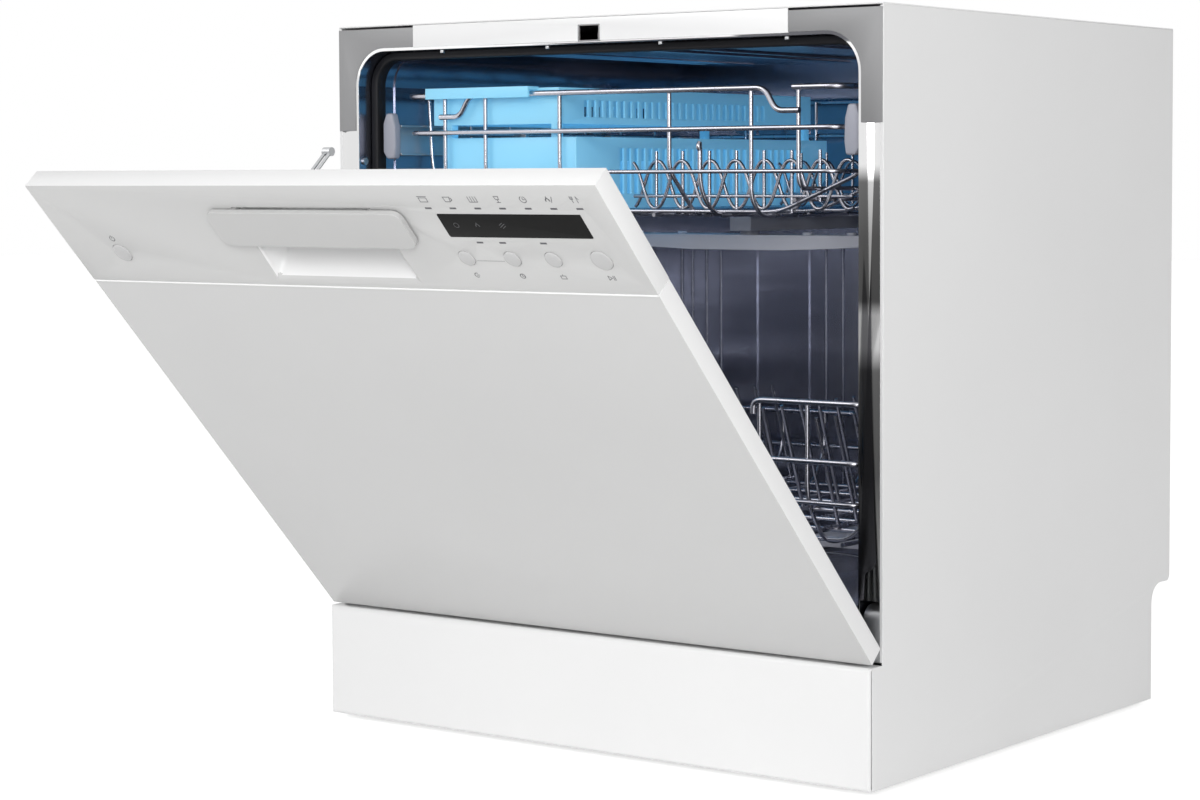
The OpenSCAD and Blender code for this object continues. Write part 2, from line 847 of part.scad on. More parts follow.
// bend is the height at which the front part turns to the floor, and run the depth that it takes
module upper_long_hoop(x, bend, run, z) {
    y0 = upper_front + cross;
    wire([[x, y0, upper_rim_z], [x, y0, z + bend], [x, y0 + run, z],
          [x, upper_rear - 22, z], [x, upper_rear, upper_floor_z + 27], [x, upper_rear, upper_rim_z]], wire_r);
}

// A closed ring of level wires round the basket
module ring(half, y0, y1, z, r) {
    wire([[-half, y0, z], [half, y0, z]], r);
    wire([[-half, y1, z], [half, y1, z]], r);
    both_sides() wire([[half, y0 - r, z], [half, y1 + r, z]], r);
}

// Hair-fine joints between a basket's floor, its slopes and its walls, each of which is flat
joint_w = 0.05;

// slope_y is where the part right of split_x is parted
module basket_joints(floor_z, ring_z, wall_y, slope_y = [-177, 157]) {
    reach = 260;
    split_x = 165;
    under_ring = ring_z - 4;
    for (z = [floor_z, ring_z + 2.4]) block([-reach, -reach, z], [reach, reach, z + joint_w]);
    for (y = [-177, 157]) block([-reach, y, floor_z], [split_x, y + joint_w, under_ring]);
    for (y = slope_y) block([split_x, y, floor_z], [reach, y + joint_w, under_ring]);
    for (y = wall_y) block([-reach, y, under_ring], [reach, y + joint_w, ring_z + 100]);
}

module upper_basket_frame() {
    color("lightslategray") difference() {
        upper_basket_wires();
        basket_joints(upper_floor_z + 5.5, upper_low_z, [-198, 175], [-192, 172]);
        both_sides() for (y = upper_pin_y) {
            block([upper_half - 16, y - 6, rail_z + 3.2], [upper_half + 11, y + 6, rail_z + 3.2 + joint_w]);
        }
    }
}

module upper_basket_wires() {
    dip_z = upper_rim_z - 18;
    y0 = upper_front + cross;
    short_x = 86;
    slope_wire_x = 158;
    for (i = [0 : 6]) upper_hoop(-172 + 54*i);
    for (x = fence_x) upper_long_hoop(-x, 27, 25, upper_floor_z);
    upper_long_hoop(fence_x[0], 31, 25, upper_floor_z);
    upper_long_hoop(fence_x[1], 13, 12, upper_floor_z);
    upper_long_hoop(fence_x[2], 6, 6, slope_z(fence_x[2]) + cross);
    wire([[short_x, y0, 493], [short_x, y0, upper_floor_z + 20], [short_x, y0 + 20, upper_floor_z],
          [short_x, upper_rear - 26, upper_floor_z]], wire_r);
    both_sides() {
        wire([[0, upper_front, upper_rim_z], [150, upper_front, upper_rim_z],
              [161, upper_front, dip_z], [fence_x[2] + 3, upper_front, dip_z]], rim_r);
        wire([[fence_x[2] - 3, upper_front, upper_rim_z], [212, upper_front, upper_rim_z],
              [upper_half - cross, upper_front + 12, upper_rim_z],
              [upper_half - cross, upper_rear + cross, upper_rim_z],
              [0, upper_rear + cross, upper_rim_z]], rim_r);
        for (y = upper_pin_y) {
            disc_x(upper_half - 14, 234.2, y, rail_z, pin_r);
            block([upper_half - 14, y - 2.5, rail_z - 7], [upper_half - 1, y + 2.5, rail_z + 7]);
        }
    }
    for (x = [-slope_wire_x, -96, -20, 20]) {
        wire([[x, upper_front + 30, upper_floor_z], [x, upper_rear - 26, upper_floor_z]], wire_r);
    }
    wire([[slope_wire_x, upper_front + 30, slope_z(slope_wire_x) + cross],
          [slope_wire_x, upper_rear - 26, slope_z(slope_wire_x) + cross]], wire_r);
    ring(upper_half - 5, upper_front, upper_rear + cross, upper_mid_z, wire_r + 0.3);
    ring(upper_half - 4 - cross, upper_front, upper_rear + cross, upper_low_z, wire_r);
}

// A wire of few-sided section swept through points in one plane of constant y
function normal_at(p, i) =
    let (a = p[max(i - 1, 0)], b = p[min(i + 1, len(p) - 1)], d = b - a) [-d.z, 0, d.x]/norm(d);

module swept_wire(p, r, sides) {
    n = len(p);
    points = [for (i = [0 : n - 1], k = [0 : sides - 1])
        p[i] + r*cos(360*k/sides)*normal_at(p, i) + r*sin(360*k/sides)*[0, 1, 0]];
    walls = [for (i = [0 : n - 2], k = [0 : sides - 1], f = [0, 1])
        let (a = i*sides + k, b = i*sides + (k + 1)%sides)
        f == 0 ? [a, b, b + sides] : [a, b + sides, a + sides]];
    polyhedron(concat(points), concat([[for (k = [sides - 1 : -1 : 0]) k]], walls,
        [[for (k = [0 : sides - 1]) (n - 1)*sides + k]]));
}

wave_pitch = 54;
wave_crest_x = 26;
wave_low = 440;
wave_high = 479;
wave_steps = 12;
wave_gap = 2.7;         // between the two wavy wires of a row
row_x = [-24, 192];
row_y = [-145, 71];
row_wire_z = 450;
row_pin_top = 487;

// Height of the wavy wire, measured in turns from where it rises, with round crests
function wave_z(turn) =
    (wave_low + wave_high)/2 + (wave_high - wave_low)/2*(sin(360*turn) + 0.05*sin(3*360*turn))/0.95;

module wavy_wire(x0, x1, y, phase) {
    steps = round((x1 - x0)/wave_pitch*wave_steps);
    swept_wire([for (i = [0 : steps])
                let (x = x0 + (x1 - x0)*i/steps)
                [x, y, wave_z((x - wave_crest_x)/wave_pitch + 0.25 + phase)]], 1.5, 6);
}

// Two rows of wavy wires, each with a straight wire and upright pins at its crests
module upper_basket_waves() {
    pin_r = 1.45;
    color("lightslategray") for (y = row_y) {
        wavy_wire(row_x[0], row_x[1], y, 0);
        wavy_wire(row_x[0], row_x[1], y + wave_gap, 0.5);
        wire([[row_x[0], y + wave_gap/2, row_wire_z], [row_x[1], y + wave_gap/2, row_wire_z]], 1.5);
        for (k = [-1 : 5]) {
            x = wave_crest_x + wave_pitch/2*k;
            low = x > upper_low_right ? slope_z(x) : upper_floor_z + 0.5;
            translate([x, y + wave_gap/2, low]) cylinder(r = pin_r, h = row_pin_top - low, $fn = 8);
        }
    }
}

// CUTLERY TRAY AND BASKET

tray_y = [-199, 177];
tray_wall = 2;

module slots(x, y0, y1, z0, z1) {
    pitch = 10;
    for (y = [y0 : pitch : y1]) block([x - 3, y, z0], [x + 3, y + 6, z1]);
}

module cutlery_tray() {
    x = [-196, -60];
    z = [510, 540];
    color("deepskyblue") {
        difference() {
            block([x[0], tray_y[0], z[0]], [x[1], tray_y[1], z[1]]);
            block([x[0] + tray_wall, tray_y[0] + tray_wall, z[0] + tray_wall],
                  [x[1] - tray_wall, tray_y[1] - tray_wall, z[1] + 1]);
            slots(x[1], -165, 100, 516, 530);
            slots(x[0], -165, 100, 516, 530);
            for (y = [-150 : 30 : 150]) block([x[0] + 20, y, z[0] - 1], [x[1] - 20, y + 14, z[0] + 3]);
        }
        block([-194, upper_front - 5, 538.3], [-82, tray_y[0] + 1, 541]);
        block([-194, upper_front - 6.5, 532], [-82, upper_front - 4, 541]);
        for (px = [x[0] + 14, x[1] - 8], py = [tray_y[0], tray_y[1] - 8]) {
            block([px, py, 499], [px + 6, py + 8, z[0] + 1]);
        }
    }
}

// Side view of the lower cutlery basket, its ends drawn in where the wires bend to the floor
function basket_side(in) =
    let (low = upper_floor_z + cross + wire_r + 0.1 + in, bend = 466, top = 499 + in)
    [[tray_y[0] + in, top], [tray_y[0] + in, bend], [-172 + in, low],
     [150 - in, low], [tray_y[1] - in, bend], [tray_y[1] - in, top]];

module cutlery_basket() {
    x = [-186, -42];
    z = [upper_floor_z + cross + wire_r + 0.1, 499];
    color("deepskyblue") difference() {
        union() {
            difference() {
                along_x(x[0], x[1]) polygon(basket_side(0));
                along_x(x[0] + tray_wall, x[1] - tray_wall) polygon(basket_side(tray_wall));
                slots(x[1], -140, 130, 452, 490);
                for (y = [-150 : 30 : 150]) {
                    block([x[0] + 20, y, z[0] - 1], [x[1] - 20, y + 14, z[0] + 3]);
                }
            }
            block([x[0] + 1, -14, z[0] + 1], [x[1] - 1, -12, 480]);
        }
        cutlery_basket_joints(x, z[0]);
    }
}

// Hair-fine joints between the basket's floor, ends, sloping ends, sides and middle wall
module cutlery_basket_joints(x, low) {
    for (px = [x[0] + tray_wall, x[1] - tray_wall - joint_w]) {
        block([px, tray_y[0] - 1, low - 1], [px + joint_w, tray_y[1] + 1, 500]);
    }
    for (py = [tray_y[0] - 1, tray_y[1] - 9]) {
        block([x[0] + 1, py, 466], [x[1] - 1, py + 10, 466 + joint_w]);
    }
    for (py = [-170, 148]) block([x[0] + 1, py, low - 1], [x[1] - 1, py + joint_w, low + 4]);
    block([x[0] + 1, -15, low + tray_wall], [x[1] - 1, -11, low + tray_wall + joint_w]);
}

// RAILS AND ROLLERS

rail_y = [-205, 88];

module slide_rails() {
    web = [234.5, 236];
    flange_x = [228, 243];
    edge_z = [rail_z - 13, rail_z + 13];
    color("silver") both_sides() {
        block([web[0], rail_y[0], edge_z[0]], [web[1], rail_y[1], edge_z[1]]);
        for (z = [edge_z[0], edge_z[1] - 2]) {
            block([flange_x[0], rail_y[0], z], [flange_x[1], rail_y[1], z + 2]);
        }
    }
}

module rail_stops() {
    color("gray") both_sides() upright(rail_y[0] - 8.5, rail_y[0]) {
        polygon([[229.5, 482], [238, 482], [242, 488], [242, 512],
                 [238.5, 521], [231.5, 521], [228.5, 510], [228, 492]]);
    }
}

module roller_pair(x0, x1, y, z, r) {
    both_sides() difference() {
        disc_x(x0, x1, y, z, r);
        disc_x(x0 - 1, x1 + 1, y, z, roller_bore);
    }
}

module rail_rollers_front() {
    color("white") roller_pair(237.5, 242.5, tub_roller_y[0], rail_z, roller_r);
}

module rail_rollers_rear() {
    color("white") roller_pair(237.5, 242.5, tub_roller_y[1], rail_z, roller_r);
}

module basket_rollers_front() {
    color("white") roller_pair(228.8, 233.8, upper_pin_y[0], rail_z, roller_r);
}

module basket_rollers_rear() {
    color("white") roller_pair(228.8, 233.8, upper_pin_y[1], rail_z, roller_r);
}

// SPRAY ARMS

module spray_blade(z, blade_t) {
    half = arm_l/2;
    end_r = 14;
    translate([0, arm_y, z]) {
        linear_extrude(blade_t) {
            polygon([[-half + end_r, -end_r], [0, -24], [half - end_r, -end_r],
                     [half - end_r, end_r], [0, 24], [-half + end_r, end_r]]);
            for (s = [-1, 1]) translate([s*(half - end_r), 0]) circle(end_r);
        }
        for (x = [-165, -120, -72, 60, 105, 150]) translate([x, 0, blade_t - 1]) cylinder(r = 4, h = 3);
    }
}

lower_arm_z = 152;
upper_arm_z = 407;

module lower_spray_arm() {
    color("gray") difference() {
        union() {
            spray_blade(lower_arm_z, 9);
            translate([0, arm_y, lower_arm_z]) cylinder(r = 18, h = 13);
        }
        translate([0, arm_y, lower_arm_z - 1]) cylinder(r = 10.05, h = 20);
    }
}

// Its underside is deepest at the hub and sweeps up to the ends
module upper_spray_arm() {
    sweep = 0.00025;
    hub_z = upper_arm_z - 4.5;
    top = upper_arm_z + 12;
    color("gray") difference() {
        intersection() {
            spray_blade(hub_z, upper_arm_z + 9 - hub_z);
            translate([0, arm_y + 40, 0]) rotate([90, 0, 0]) linear_extrude(80) {
                polygon(concat([[-200, top]],
                               [for (x = [-200, -150, -100, -50, 50, 100, 150, 200]) [x, hub_z + sweep*x*x]],
                               [[200, top]]));
            }
        }
        translate([0, arm_y, upper_arm_z - 1]) cylinder(r = 8.05, h = 20);
        translate([0, arm_y, hub_z - 1]) cylinder(r = 13.4, h = upper_arm_z - hub_z + 0.9);
    }
}

module spray_duct() {
    low = upper_arm_z + 12;
    color("dimgray") {
        block([-11, arm_y - 14, low], [11, tub_rear - 23, upper_floor_z - wire_r - 0.1]);
        translate([0, arm_y, upper_arm_z - 4]) cylinder(r = 8, h = 18);
        translate([0, arm_y, upper_arm_z - 4]) cylinder(r = 13, h = 3.5);
        translate([0, tub_rear - 30, low + 4]) rotate([-90, 0, 0]) cylinder(r = 14, h = 7);
    }
}

// LOWER BASKET

lower_half = 240;
lower_low_half = 206;
lower_front = -203;
lower_rear = 183;
band_z = 245;
lower_low_z = 213;
runner_x = 204;
wheel_r = 14;
wheel_z = track_top + gap + wheel_r;
wheel_y = [-148, 128];
wheel_x = [224, 232];

module lower_hoop(y) {
    z = lower_floor_z + cross;
    wire([[-lower_half, y, lower_rim_z], [-lower_half + 2, y, lower_low_z], [-lower_low_half, y, z],
          [lower_low_half, y, z], [lower_half - 2, y, lower_low_z], [lower_half, y, lower_rim_z]], wire_r);
}

module lower_long_hoop(x, front_top) {
    y0 = lower_front + cross;
    wire([[x, y0, front_top], [x, y0, lower_low_z], [x, y0 + 25, lower_floor_z],
          [x, lower_rear - 22, lower_floor_z], [x, lower_rear, lower_low_z], [x, lower_rear, band_z]],
         wire_r);
}

module lower_basket_frame() {
    axle_joint_z = lower_floor_z - 2.4;
    color("lightslategray") difference() {
        lower_basket_wires();
        basket_joints(lower_floor_z + 8, lower_low_z, [-192, 175]);
        block([-lower_half, lower_front, axle_joint_z], [lower_half, lower_rear, axle_joint_z + joint_w]);
    }
}

module lower_basket_wires() {
    union() {
        for (i = [0 : 6]) lower_hoop(-172 + 54*i);
        lower_long_hoop(0, band_z);
        both_sides() {
            lower_long_hoop(48, band_z);
            lower_long_hoop(95, band_z);
            lower_long_hoop(141, lower_rim_z);
            lower_long_hoop(186, lower_rim_z);
            wire([[137, lower_front, lower_rim_z - 11], [137.5, lower_front, lower_rim_z],
                  [226, lower_front, lower_rim_z], [lower_half - cross, lower_front + 14, lower_rim_z],
                  [lower_half - cross, lower_rear - 22, lower_rim_z],
                  [lower_half - cross, lower_rear + cross, band_z + 12],
                  [lower_half - cross, lower_rear + cross, band_z]], rim_r);
            wire([[runner_x, -178, lower_floor_z], [runner_x, 158, lower_floor_z]], wire_r);
            for (y = wheel_y) {
                wire([[runner_x, y, lower_floor_z], [216, y, wheel_z]], pin_r);
                disc_x(215, wheel_x[1] + 2, y, wheel_z, pin_r);
            }
        }
        ring(lower_half - 4.5, lower_front, lower_rear + cross, band_z, rim_r);
        ring(lower_half - 2 - cross, lower_front, lower_rear + cross, lower_low_z, wire_r);
    }
}

module lower_basket_tines() {
    lean = 33;
    base_z = lower_floor_z + cross + wire_r + 1.3;
    tip_z = 274;
    color("lightslategray") for (x = [-162, -72, 72, 162]) {
        wire([[x, -165, base_z], [x, 165, base_z]], wire_r);
        for (i = [0 : 10]) {
            wire([[x, -118 + 28*i, base_z], [x, -118 - lean + 28*i, tip_z]], wire_r - 0.15);
        }
    }
}

module lower_wheel_pair(y) {
    both_sides() difference() {
        union() {
            disc_x(wheel_x[0], wheel_x[1], y, wheel_z, wheel_r);
            disc_x(wheel_x[0] - 2, wheel_x[1], y, wheel_z, 5);
        }
        disc_x(wheel_x[0] - 5, wheel_x[1] + 5, y, wheel_z, roller_bore);
    }
}

module lower_wheels_front() {
    color("white") lower_wheel_pair(wheel_y[0]);
}

module lower_wheels_rear() {
    color("white") lower_wheel_pair(wheel_y[1]);
}

base_tray();
plinth();
side_panel_left();
side_panel_right();
top_panel();
rear_panel();
front_frame();
corner_plates();
top_strip();
tub();
door_gasket();
hinge_brackets();
door_springs();
sump();
wash_pump();
drain_pump();
softener();
inlet_valve();
cord_gland();
feet();
case_screws();
feed_pipe();
filter_plate();
door_panel();
control_panel();
door_liner();
display_window();
indicator_lights();
control_board();
dispenser_housing();
hinge_arms();
handle_plate();
latch_hook();
dispenser_lid();
rinse_aid_cap();
power_button();
programme_button();
delay_button();
option_button();
start_button();
upper_basket_frame();
upper_basket_waves();
cutlery_tray();
cutlery_basket();
upper_spray_arm();
spray_duct();
slide_rails();
rail_stops();
rail_rollers_front();
rail_rollers_rear();
basket_rollers_front();
basket_rollers_rear();
lower_basket_frame();
lower_basket_tines();
lower_wheels_front();
lower_wheels_rear();
lower_spray_arm();
filter_cup();
salt_cap();
float_dome();
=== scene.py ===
"""Looks of a countertop dishwasher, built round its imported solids.

Lengths in this file are millimetres unless a name says otherwise, and mm() turns them into
Blender's metres. Pieces of the door are drawn on the closed door and turned to its resting
angle by door_pose, as the solids are.
"""
import json
import math

import bmesh
import bpy
from mathutils import Matrix, Vector

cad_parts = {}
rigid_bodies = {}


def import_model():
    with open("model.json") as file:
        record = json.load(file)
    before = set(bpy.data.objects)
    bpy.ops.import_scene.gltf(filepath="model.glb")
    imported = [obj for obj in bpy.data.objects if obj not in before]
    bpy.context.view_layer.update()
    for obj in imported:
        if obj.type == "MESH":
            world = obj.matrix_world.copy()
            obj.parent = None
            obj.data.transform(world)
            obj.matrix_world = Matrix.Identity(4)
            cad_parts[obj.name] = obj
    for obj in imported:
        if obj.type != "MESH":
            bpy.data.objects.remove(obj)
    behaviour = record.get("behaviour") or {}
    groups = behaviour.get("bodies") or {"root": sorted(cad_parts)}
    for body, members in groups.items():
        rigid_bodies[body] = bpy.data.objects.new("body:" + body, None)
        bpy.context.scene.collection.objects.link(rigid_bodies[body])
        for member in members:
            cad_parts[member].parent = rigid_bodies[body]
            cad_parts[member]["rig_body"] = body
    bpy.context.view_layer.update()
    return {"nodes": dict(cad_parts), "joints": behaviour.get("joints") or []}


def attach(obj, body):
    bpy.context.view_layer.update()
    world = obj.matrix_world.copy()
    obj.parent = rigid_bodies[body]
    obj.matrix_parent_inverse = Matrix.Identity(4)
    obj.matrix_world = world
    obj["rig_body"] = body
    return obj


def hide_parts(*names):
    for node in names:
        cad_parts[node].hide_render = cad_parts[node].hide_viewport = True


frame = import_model()


def mm(*values):
    """A point in metres from millimetres."""
    return Vector([v / 1000 for v in values])


def joint(name):
    return next(j for j in frame["joints"] if j["name"] == name)


DOOR_JOINT = joint("door_hinge")
HINGE = Vector(DOOR_JOINT["pos_m"])
DOOR_ANGLE = -math.radians(DOOR_JOINT["range_deg"][0])
door_pose = (Matrix.Translation(HINGE) @ Matrix.Rotation(DOOR_ANGLE, 4, "X")
             @ Matrix.Translation(-HINGE))

# Driving places of the cabinet and the closed door
DOOR_FACE = -250.0
DOOR_LOW = 103.0
FRAME_FRONT = -231.5
TUB_HALF = 253.0
TUB_TOP = 573.0
TUB_REAR = 213.0


# MATERIALS

def texture_space(tree):
    """Object coordinates, which all patterns here are laid out in."""
    return tree.nodes.new("ShaderNodeTexCoord").outputs["Object"]


def group_socket(group, name, kind, way="INPUT"):
    return group.interface.new_socket(name=name, in_out=way, socket_type=kind)


def make_mottle_group():
    """Slow variation of a colour and of its roughness over the surface."""
    group = bpy.data.node_groups.new("mottle", "ShaderNodeTree")
    group_socket(group, "Color", "NodeSocketColor")
    group_socket(group, "Second", "NodeSocketColor")
    group_socket(group, "Scale", "NodeSocketFloat")
    group_socket(group, "Rough low", "NodeSocketFloat")
    group_socket(group, "Rough high", "NodeSocketFloat")
    group_socket(group, "Color", "NodeSocketColor", "OUTPUT")
    group_socket(group, "Roughness", "NodeSocketFloat", "OUTPUT")
    nodes, links = group.nodes, group.links
    enter, leave = nodes.new("NodeGroupInput"), nodes.new("NodeGroupOutput")
    noise = nodes.new("ShaderNodeTexNoise")
    noise.inputs["Detail"].default_value = 3
    links.new(texture_space(group), noise.inputs["Vector"])
    links.new(enter.outputs["Scale"], noise.inputs["Scale"])
    mix = nodes.new("ShaderNodeMix")
    mix.data_type = "RGBA"
    links.new(noise.outputs["Fac"], mix.inputs["Factor"])
    links.new(enter.outputs["Color"], mix.inputs["A"])
    links.new(enter.outputs["Second"], mix.inputs["B"])
    spread = nodes.new("ShaderNodeMapRange")
    links.new(noise.outputs["Fac"], spread.inputs["Value"])
    links.new(enter.outputs["Rough low"], spread.inputs["To Min"])
    links.new(enter.outputs["Rough high"], spread.inputs["To Max"])
    links.new(mix.outputs["Result"], leave.inputs["Color"])
    links.new(spread.outputs["Result"], leave.inputs["Roughness"])
    return group


def make_grain_group():
    """Height of a fine grain, longer along one axis where Stretch says so."""
    group = bpy.data.node_groups.new("grain", "ShaderNodeTree")
    group_socket(group, "Scale", "NodeSocketFloat")
    group_socket(group, "Stretch", "NodeSocketVector")
    group_socket(group, "Height", "NodeSocketFloat", "OUTPUT")
    nodes, links = group.nodes, group.links
    enter, leave = nodes.new("NodeGroupInput"), nodes.new("NodeGroupOutput")
    place = nodes.new("ShaderNodeMapping")
    links.new(texture_space(group), place.inputs["Vector"])
    links.new(enter.outputs["Stretch"], place.inputs["Scale"])
    noise = nodes.new("ShaderNodeTexNoise")
    noise.inputs["Detail"].default_value = 4
    links.new(place.outputs["Vector"], noise.inputs["Vector"])
    links.new(enter.outputs["Scale"], noise.inputs["Scale"])
    links.new(noise.outputs["Fac"], leave.inputs["Height"])
    return group


MOTTLE = make_mottle_group()
GRAIN = make_grain_group()


def shade(colour, factor):
    """The colour times a factor, with full alpha."""
    return [min(1.0, c * factor) for c in colour[:3]] + [1.0]


def finish(name, colour, rough, metallic=0.0, second=None, mottle=6.0, grain=900.0, stretch=(1, 1, 1),
           bump=0.00002, coat=0.0, coat_rough=0.1, specular=0.5, anisotropic=0.0, glow_through=0.0,
           painted_light=None, painted_glow=None):
    """A procedural material: mottled colour and roughness, with a fine grain as bump.

    rough is the lowest and highest roughness, bump the grain's height in metres, glow_through the
    share of light that a thin plastic wall lets through, marked the lighter colour, painted light,
    that faces picked by mark take, and glow the colour of a painted glow: light that the plastic
    gives off itself, in place of light carried through a clear-tinted plastic."""
    material = bpy.data.materials.new(name)
    material.use_nodes = True
    nodes, links = material.node_tree.nodes, material.node_tree.links
    shader = nodes["Principled BSDF"]
    shader.inputs["Metallic"].default_value = metallic
    shader.inputs["Coat Weight"].default_value = coat
    shader.inputs["Coat Roughness"].default_value = coat_rough
    shader.inputs["Specular IOR Level"].default_value = specular
    shader.inputs["Anisotropic"].default_value = anisotropic
    # Painted glow: emission that stands in for light carried through the plastic
    if painted_glow:
        shader.inputs["Emission Color"].default_value = shade(painted_glow, 1)
        shader.inputs["Emission Strength"].default_value = 1.0
    vary = nodes.new("ShaderNodeGroup")
    vary.node_tree = MOTTLE
    vary.inputs["Color"].default_value = shade(colour, 1)
    vary.inputs["Second"].default_value = shade(second or colour, 1 if second else 0.955)
    vary.inputs["Scale"].default_value = mottle
    vary.inputs["Rough low"].default_value = rough[0]
    vary.inputs["Rough high"].default_value = rough[1]
    colour_out = vary.outputs["Color"]
    # Painted light: faces picked by the attribute take a lighter colour
    if painted_light:
        mark = nodes.new("ShaderNodeAttribute")
        mark.attribute_name = "painted_light"
        choose = nodes.new("ShaderNodeMix")
        choose.data_type = "RGBA"
        links.new(mark.outputs["Fac"], choose.inputs["Factor"])
        links.new(colour_out, choose.inputs["A"])
        choose.inputs["B"].default_value = shade(painted_light, 1)
        colour_out = choose.outputs["Result"]
    links.new(colour_out, shader.inputs["Base Color"])
    links.new(vary.outputs["Roughness"], shader.inputs["Roughness"])
    texture = nodes.new("ShaderNodeGroup")
    texture.node_tree = GRAIN
    texture.inputs["Scale"].default_value = grain
    texture.inputs["Stretch"].default_value = stretch
    relief = nodes.new("ShaderNodeBump")
    relief.inputs["Strength"].default_value = 1.0
    relief.inputs["Distance"].default_value = bump
    links.new(texture.outputs["Height"], relief.inputs["Height"])
    links.new(relief.outputs["Normal"], shader.inputs["Normal"])
    if glow_through:
        through = nodes.new("ShaderNodeBsdfTranslucent")
        links.new(colour_out, through.inputs["Color"])
        both = nodes.new("ShaderNodeMixShader")
        both.inputs["Fac"].default_value = glow_through
        links.new(shader.outputs["BSDF"], both.inputs[1])
        links.new(through.outputs["BSDF"], both.inputs[2])
        links.new(both.outputs["Shader"], nodes["Material Output"].inputs["Surface"])
    return material


cabinet_enamel = finish("cabinet_enamel", (0.82, 0.82, 0.82), (0.30, 0.42), grain=700, bump=0.000012,
                        coat=0.15)
strip_enamel = finish("strip_enamel", (0.96, 0.96, 0.96), (0.25, 0.35), grain=700, bump=0.000012, coat=0.15)
# Painted light and shade on one white: the face a darker tone, the edges and the finger recess a lighter one
door_enamel = finish("door_enamel", (0.62, 0.62, 0.618), (0.30, 0.40), grain=700, bump=0.000012, coat=0.15,
                     painted_light=(0.88, 0.88, 0.88))
panel_plastic = finish("panel_plastic", (0.62, 0.62, 0.616), (0.32, 0.42), grain=1500, bump=0.00001,
                       painted_light=(0.88, 0.88, 0.88))
handle_plastic = finish("handle_plastic", (0.55, 0.55, 0.546), (0.28, 0.36), grain=1500, bump=0.00001)
button_plastic = finish("button_plastic", (0.54, 0.54, 0.54), (0.20, 0.30), grain=1500, bump=0.000008)
base_plastic = finish("base_plastic", (0.70, 0.70, 0.69), (0.45, 0.60), grain=500, bump=0.00004)
port_plastic = finish("port_plastic", (0.66, 0.66, 0.65), (0.40, 0.55), grain=700, bump=0.00003)
tub_steel = finish("tub_steel", (0.52, 0.54, 0.62), (0.14, 0.26), 1.0, second=(0.22, 0.23, 0.29),
                   mottle=7, grain=4.0, stretch=(0.7, 0.7, 3.0), bump=0.0010)
liner_steel = finish("liner_steel", (0.22, 0.22, 0.24), (0.16, 0.28), 1.0, second=(0.16, 0.16, 0.18),
                     mottle=5, grain=40, stretch=(0.6, 3, 3), bump=0.0002)
frame_steel = finish("frame_steel", (0.80, 0.80, 0.80), (0.05, 0.10), 1.0, second=(0.72, 0.72, 0.72),
                     mottle=9, grain=400, stretch=(1, 1, 0.05), bump=0.000004)
plate_steel = finish("plate_steel", (0.30, 0.30, 0.305), (0.50, 0.62), 0.45, grain=900, stretch=(0.04, 1, 1),
                     bump=0.00001)
wire_steel = finish("wire_steel", (0.52, 0.52, 0.56), (0.20, 0.34), 1.0, second=(0.42, 0.42, 0.47),
                    mottle=40, grain=600, bump=0.00004)
zinc_steel = finish("zinc_steel", (0.55, 0.56, 0.57), (0.34, 0.50), 1.0, mottle=60, grain=300, bump=0.00003)
# Painted glow: the cyan plastic gives off a faint blue light of its own
cyan_plastic = finish("cyan_plastic", (0.44, 0.86, 1.0), (0.28, 0.38), second=(0.38, 0.82, 1.0),
                      mottle=12, grain=1200, bump=0.00001, coat=0.1, glow_through=0.30,
                      painted_glow=(0.05, 0.12, 0.17))
grey_plastic = finish("grey_plastic", (0.38, 0.39, 0.45), (0.35, 0.48), grain=900, bump=0.00003)
pale_grey_plastic = finish("pale_grey_plastic", (0.62, 0.63, 0.70), (0.32, 0.45), grain=900, bump=0.00002)
dark_plastic = finish("dark_plastic", (0.045, 0.045, 0.05), (0.45, 0.60), grain=700, bump=0.00004)
seal_rubber = finish("seal_rubber", (0.010, 0.010, 0.012), (0.50, 0.65), grain=500, bump=0.00005,
                     specular=0.3)
display_glass = finish("display_glass", (0.015, 0.015, 0.015), (0.40, 0.48), grain=200, bump=0.000004,
                       specular=0.04)
lamp_plastic = finish("lamp_plastic", (0.09, 0.09, 0.10), (0.40, 0.50), grain=900, bump=0.00001)
print_grey = finish("print_grey", (0.17, 0.17, 0.18), (0.50, 0.60), grain=900, bump=0.000005)
print_faint = finish("print_faint", (0.07, 0.07, 0.075), (0.50, 0.60), grain=900, bump=0.000005)
board_green = finish("board_green", (0.03, 0.16, 0.07), (0.40, 0.50), second=(0.02, 0.11, 0.05), mottle=90,
                     grain=400, bump=0.00005)
cap_blue = finish("cap_blue", (0.22, 0.38, 0.60), (0.35, 0.45), grain=900, bump=0.00002)


FLANGE_FROM, FLANGE_TO = 0.238, 0.242
FLANGE_TOP = 0.6
# Painted reflection on the right flange: height in metres and tone, from the bottom up
FLANGE_PAINTED_REFLECTION_TONES = ((0.10, 0.25), (0.24, 0.06), (0.32, 0.07), (0.337, 0.32), (0.362, 0.34), (0.372, 0.06),
                (0.42, 0.08), (0.462, 0.14), (0.474, 0.80))


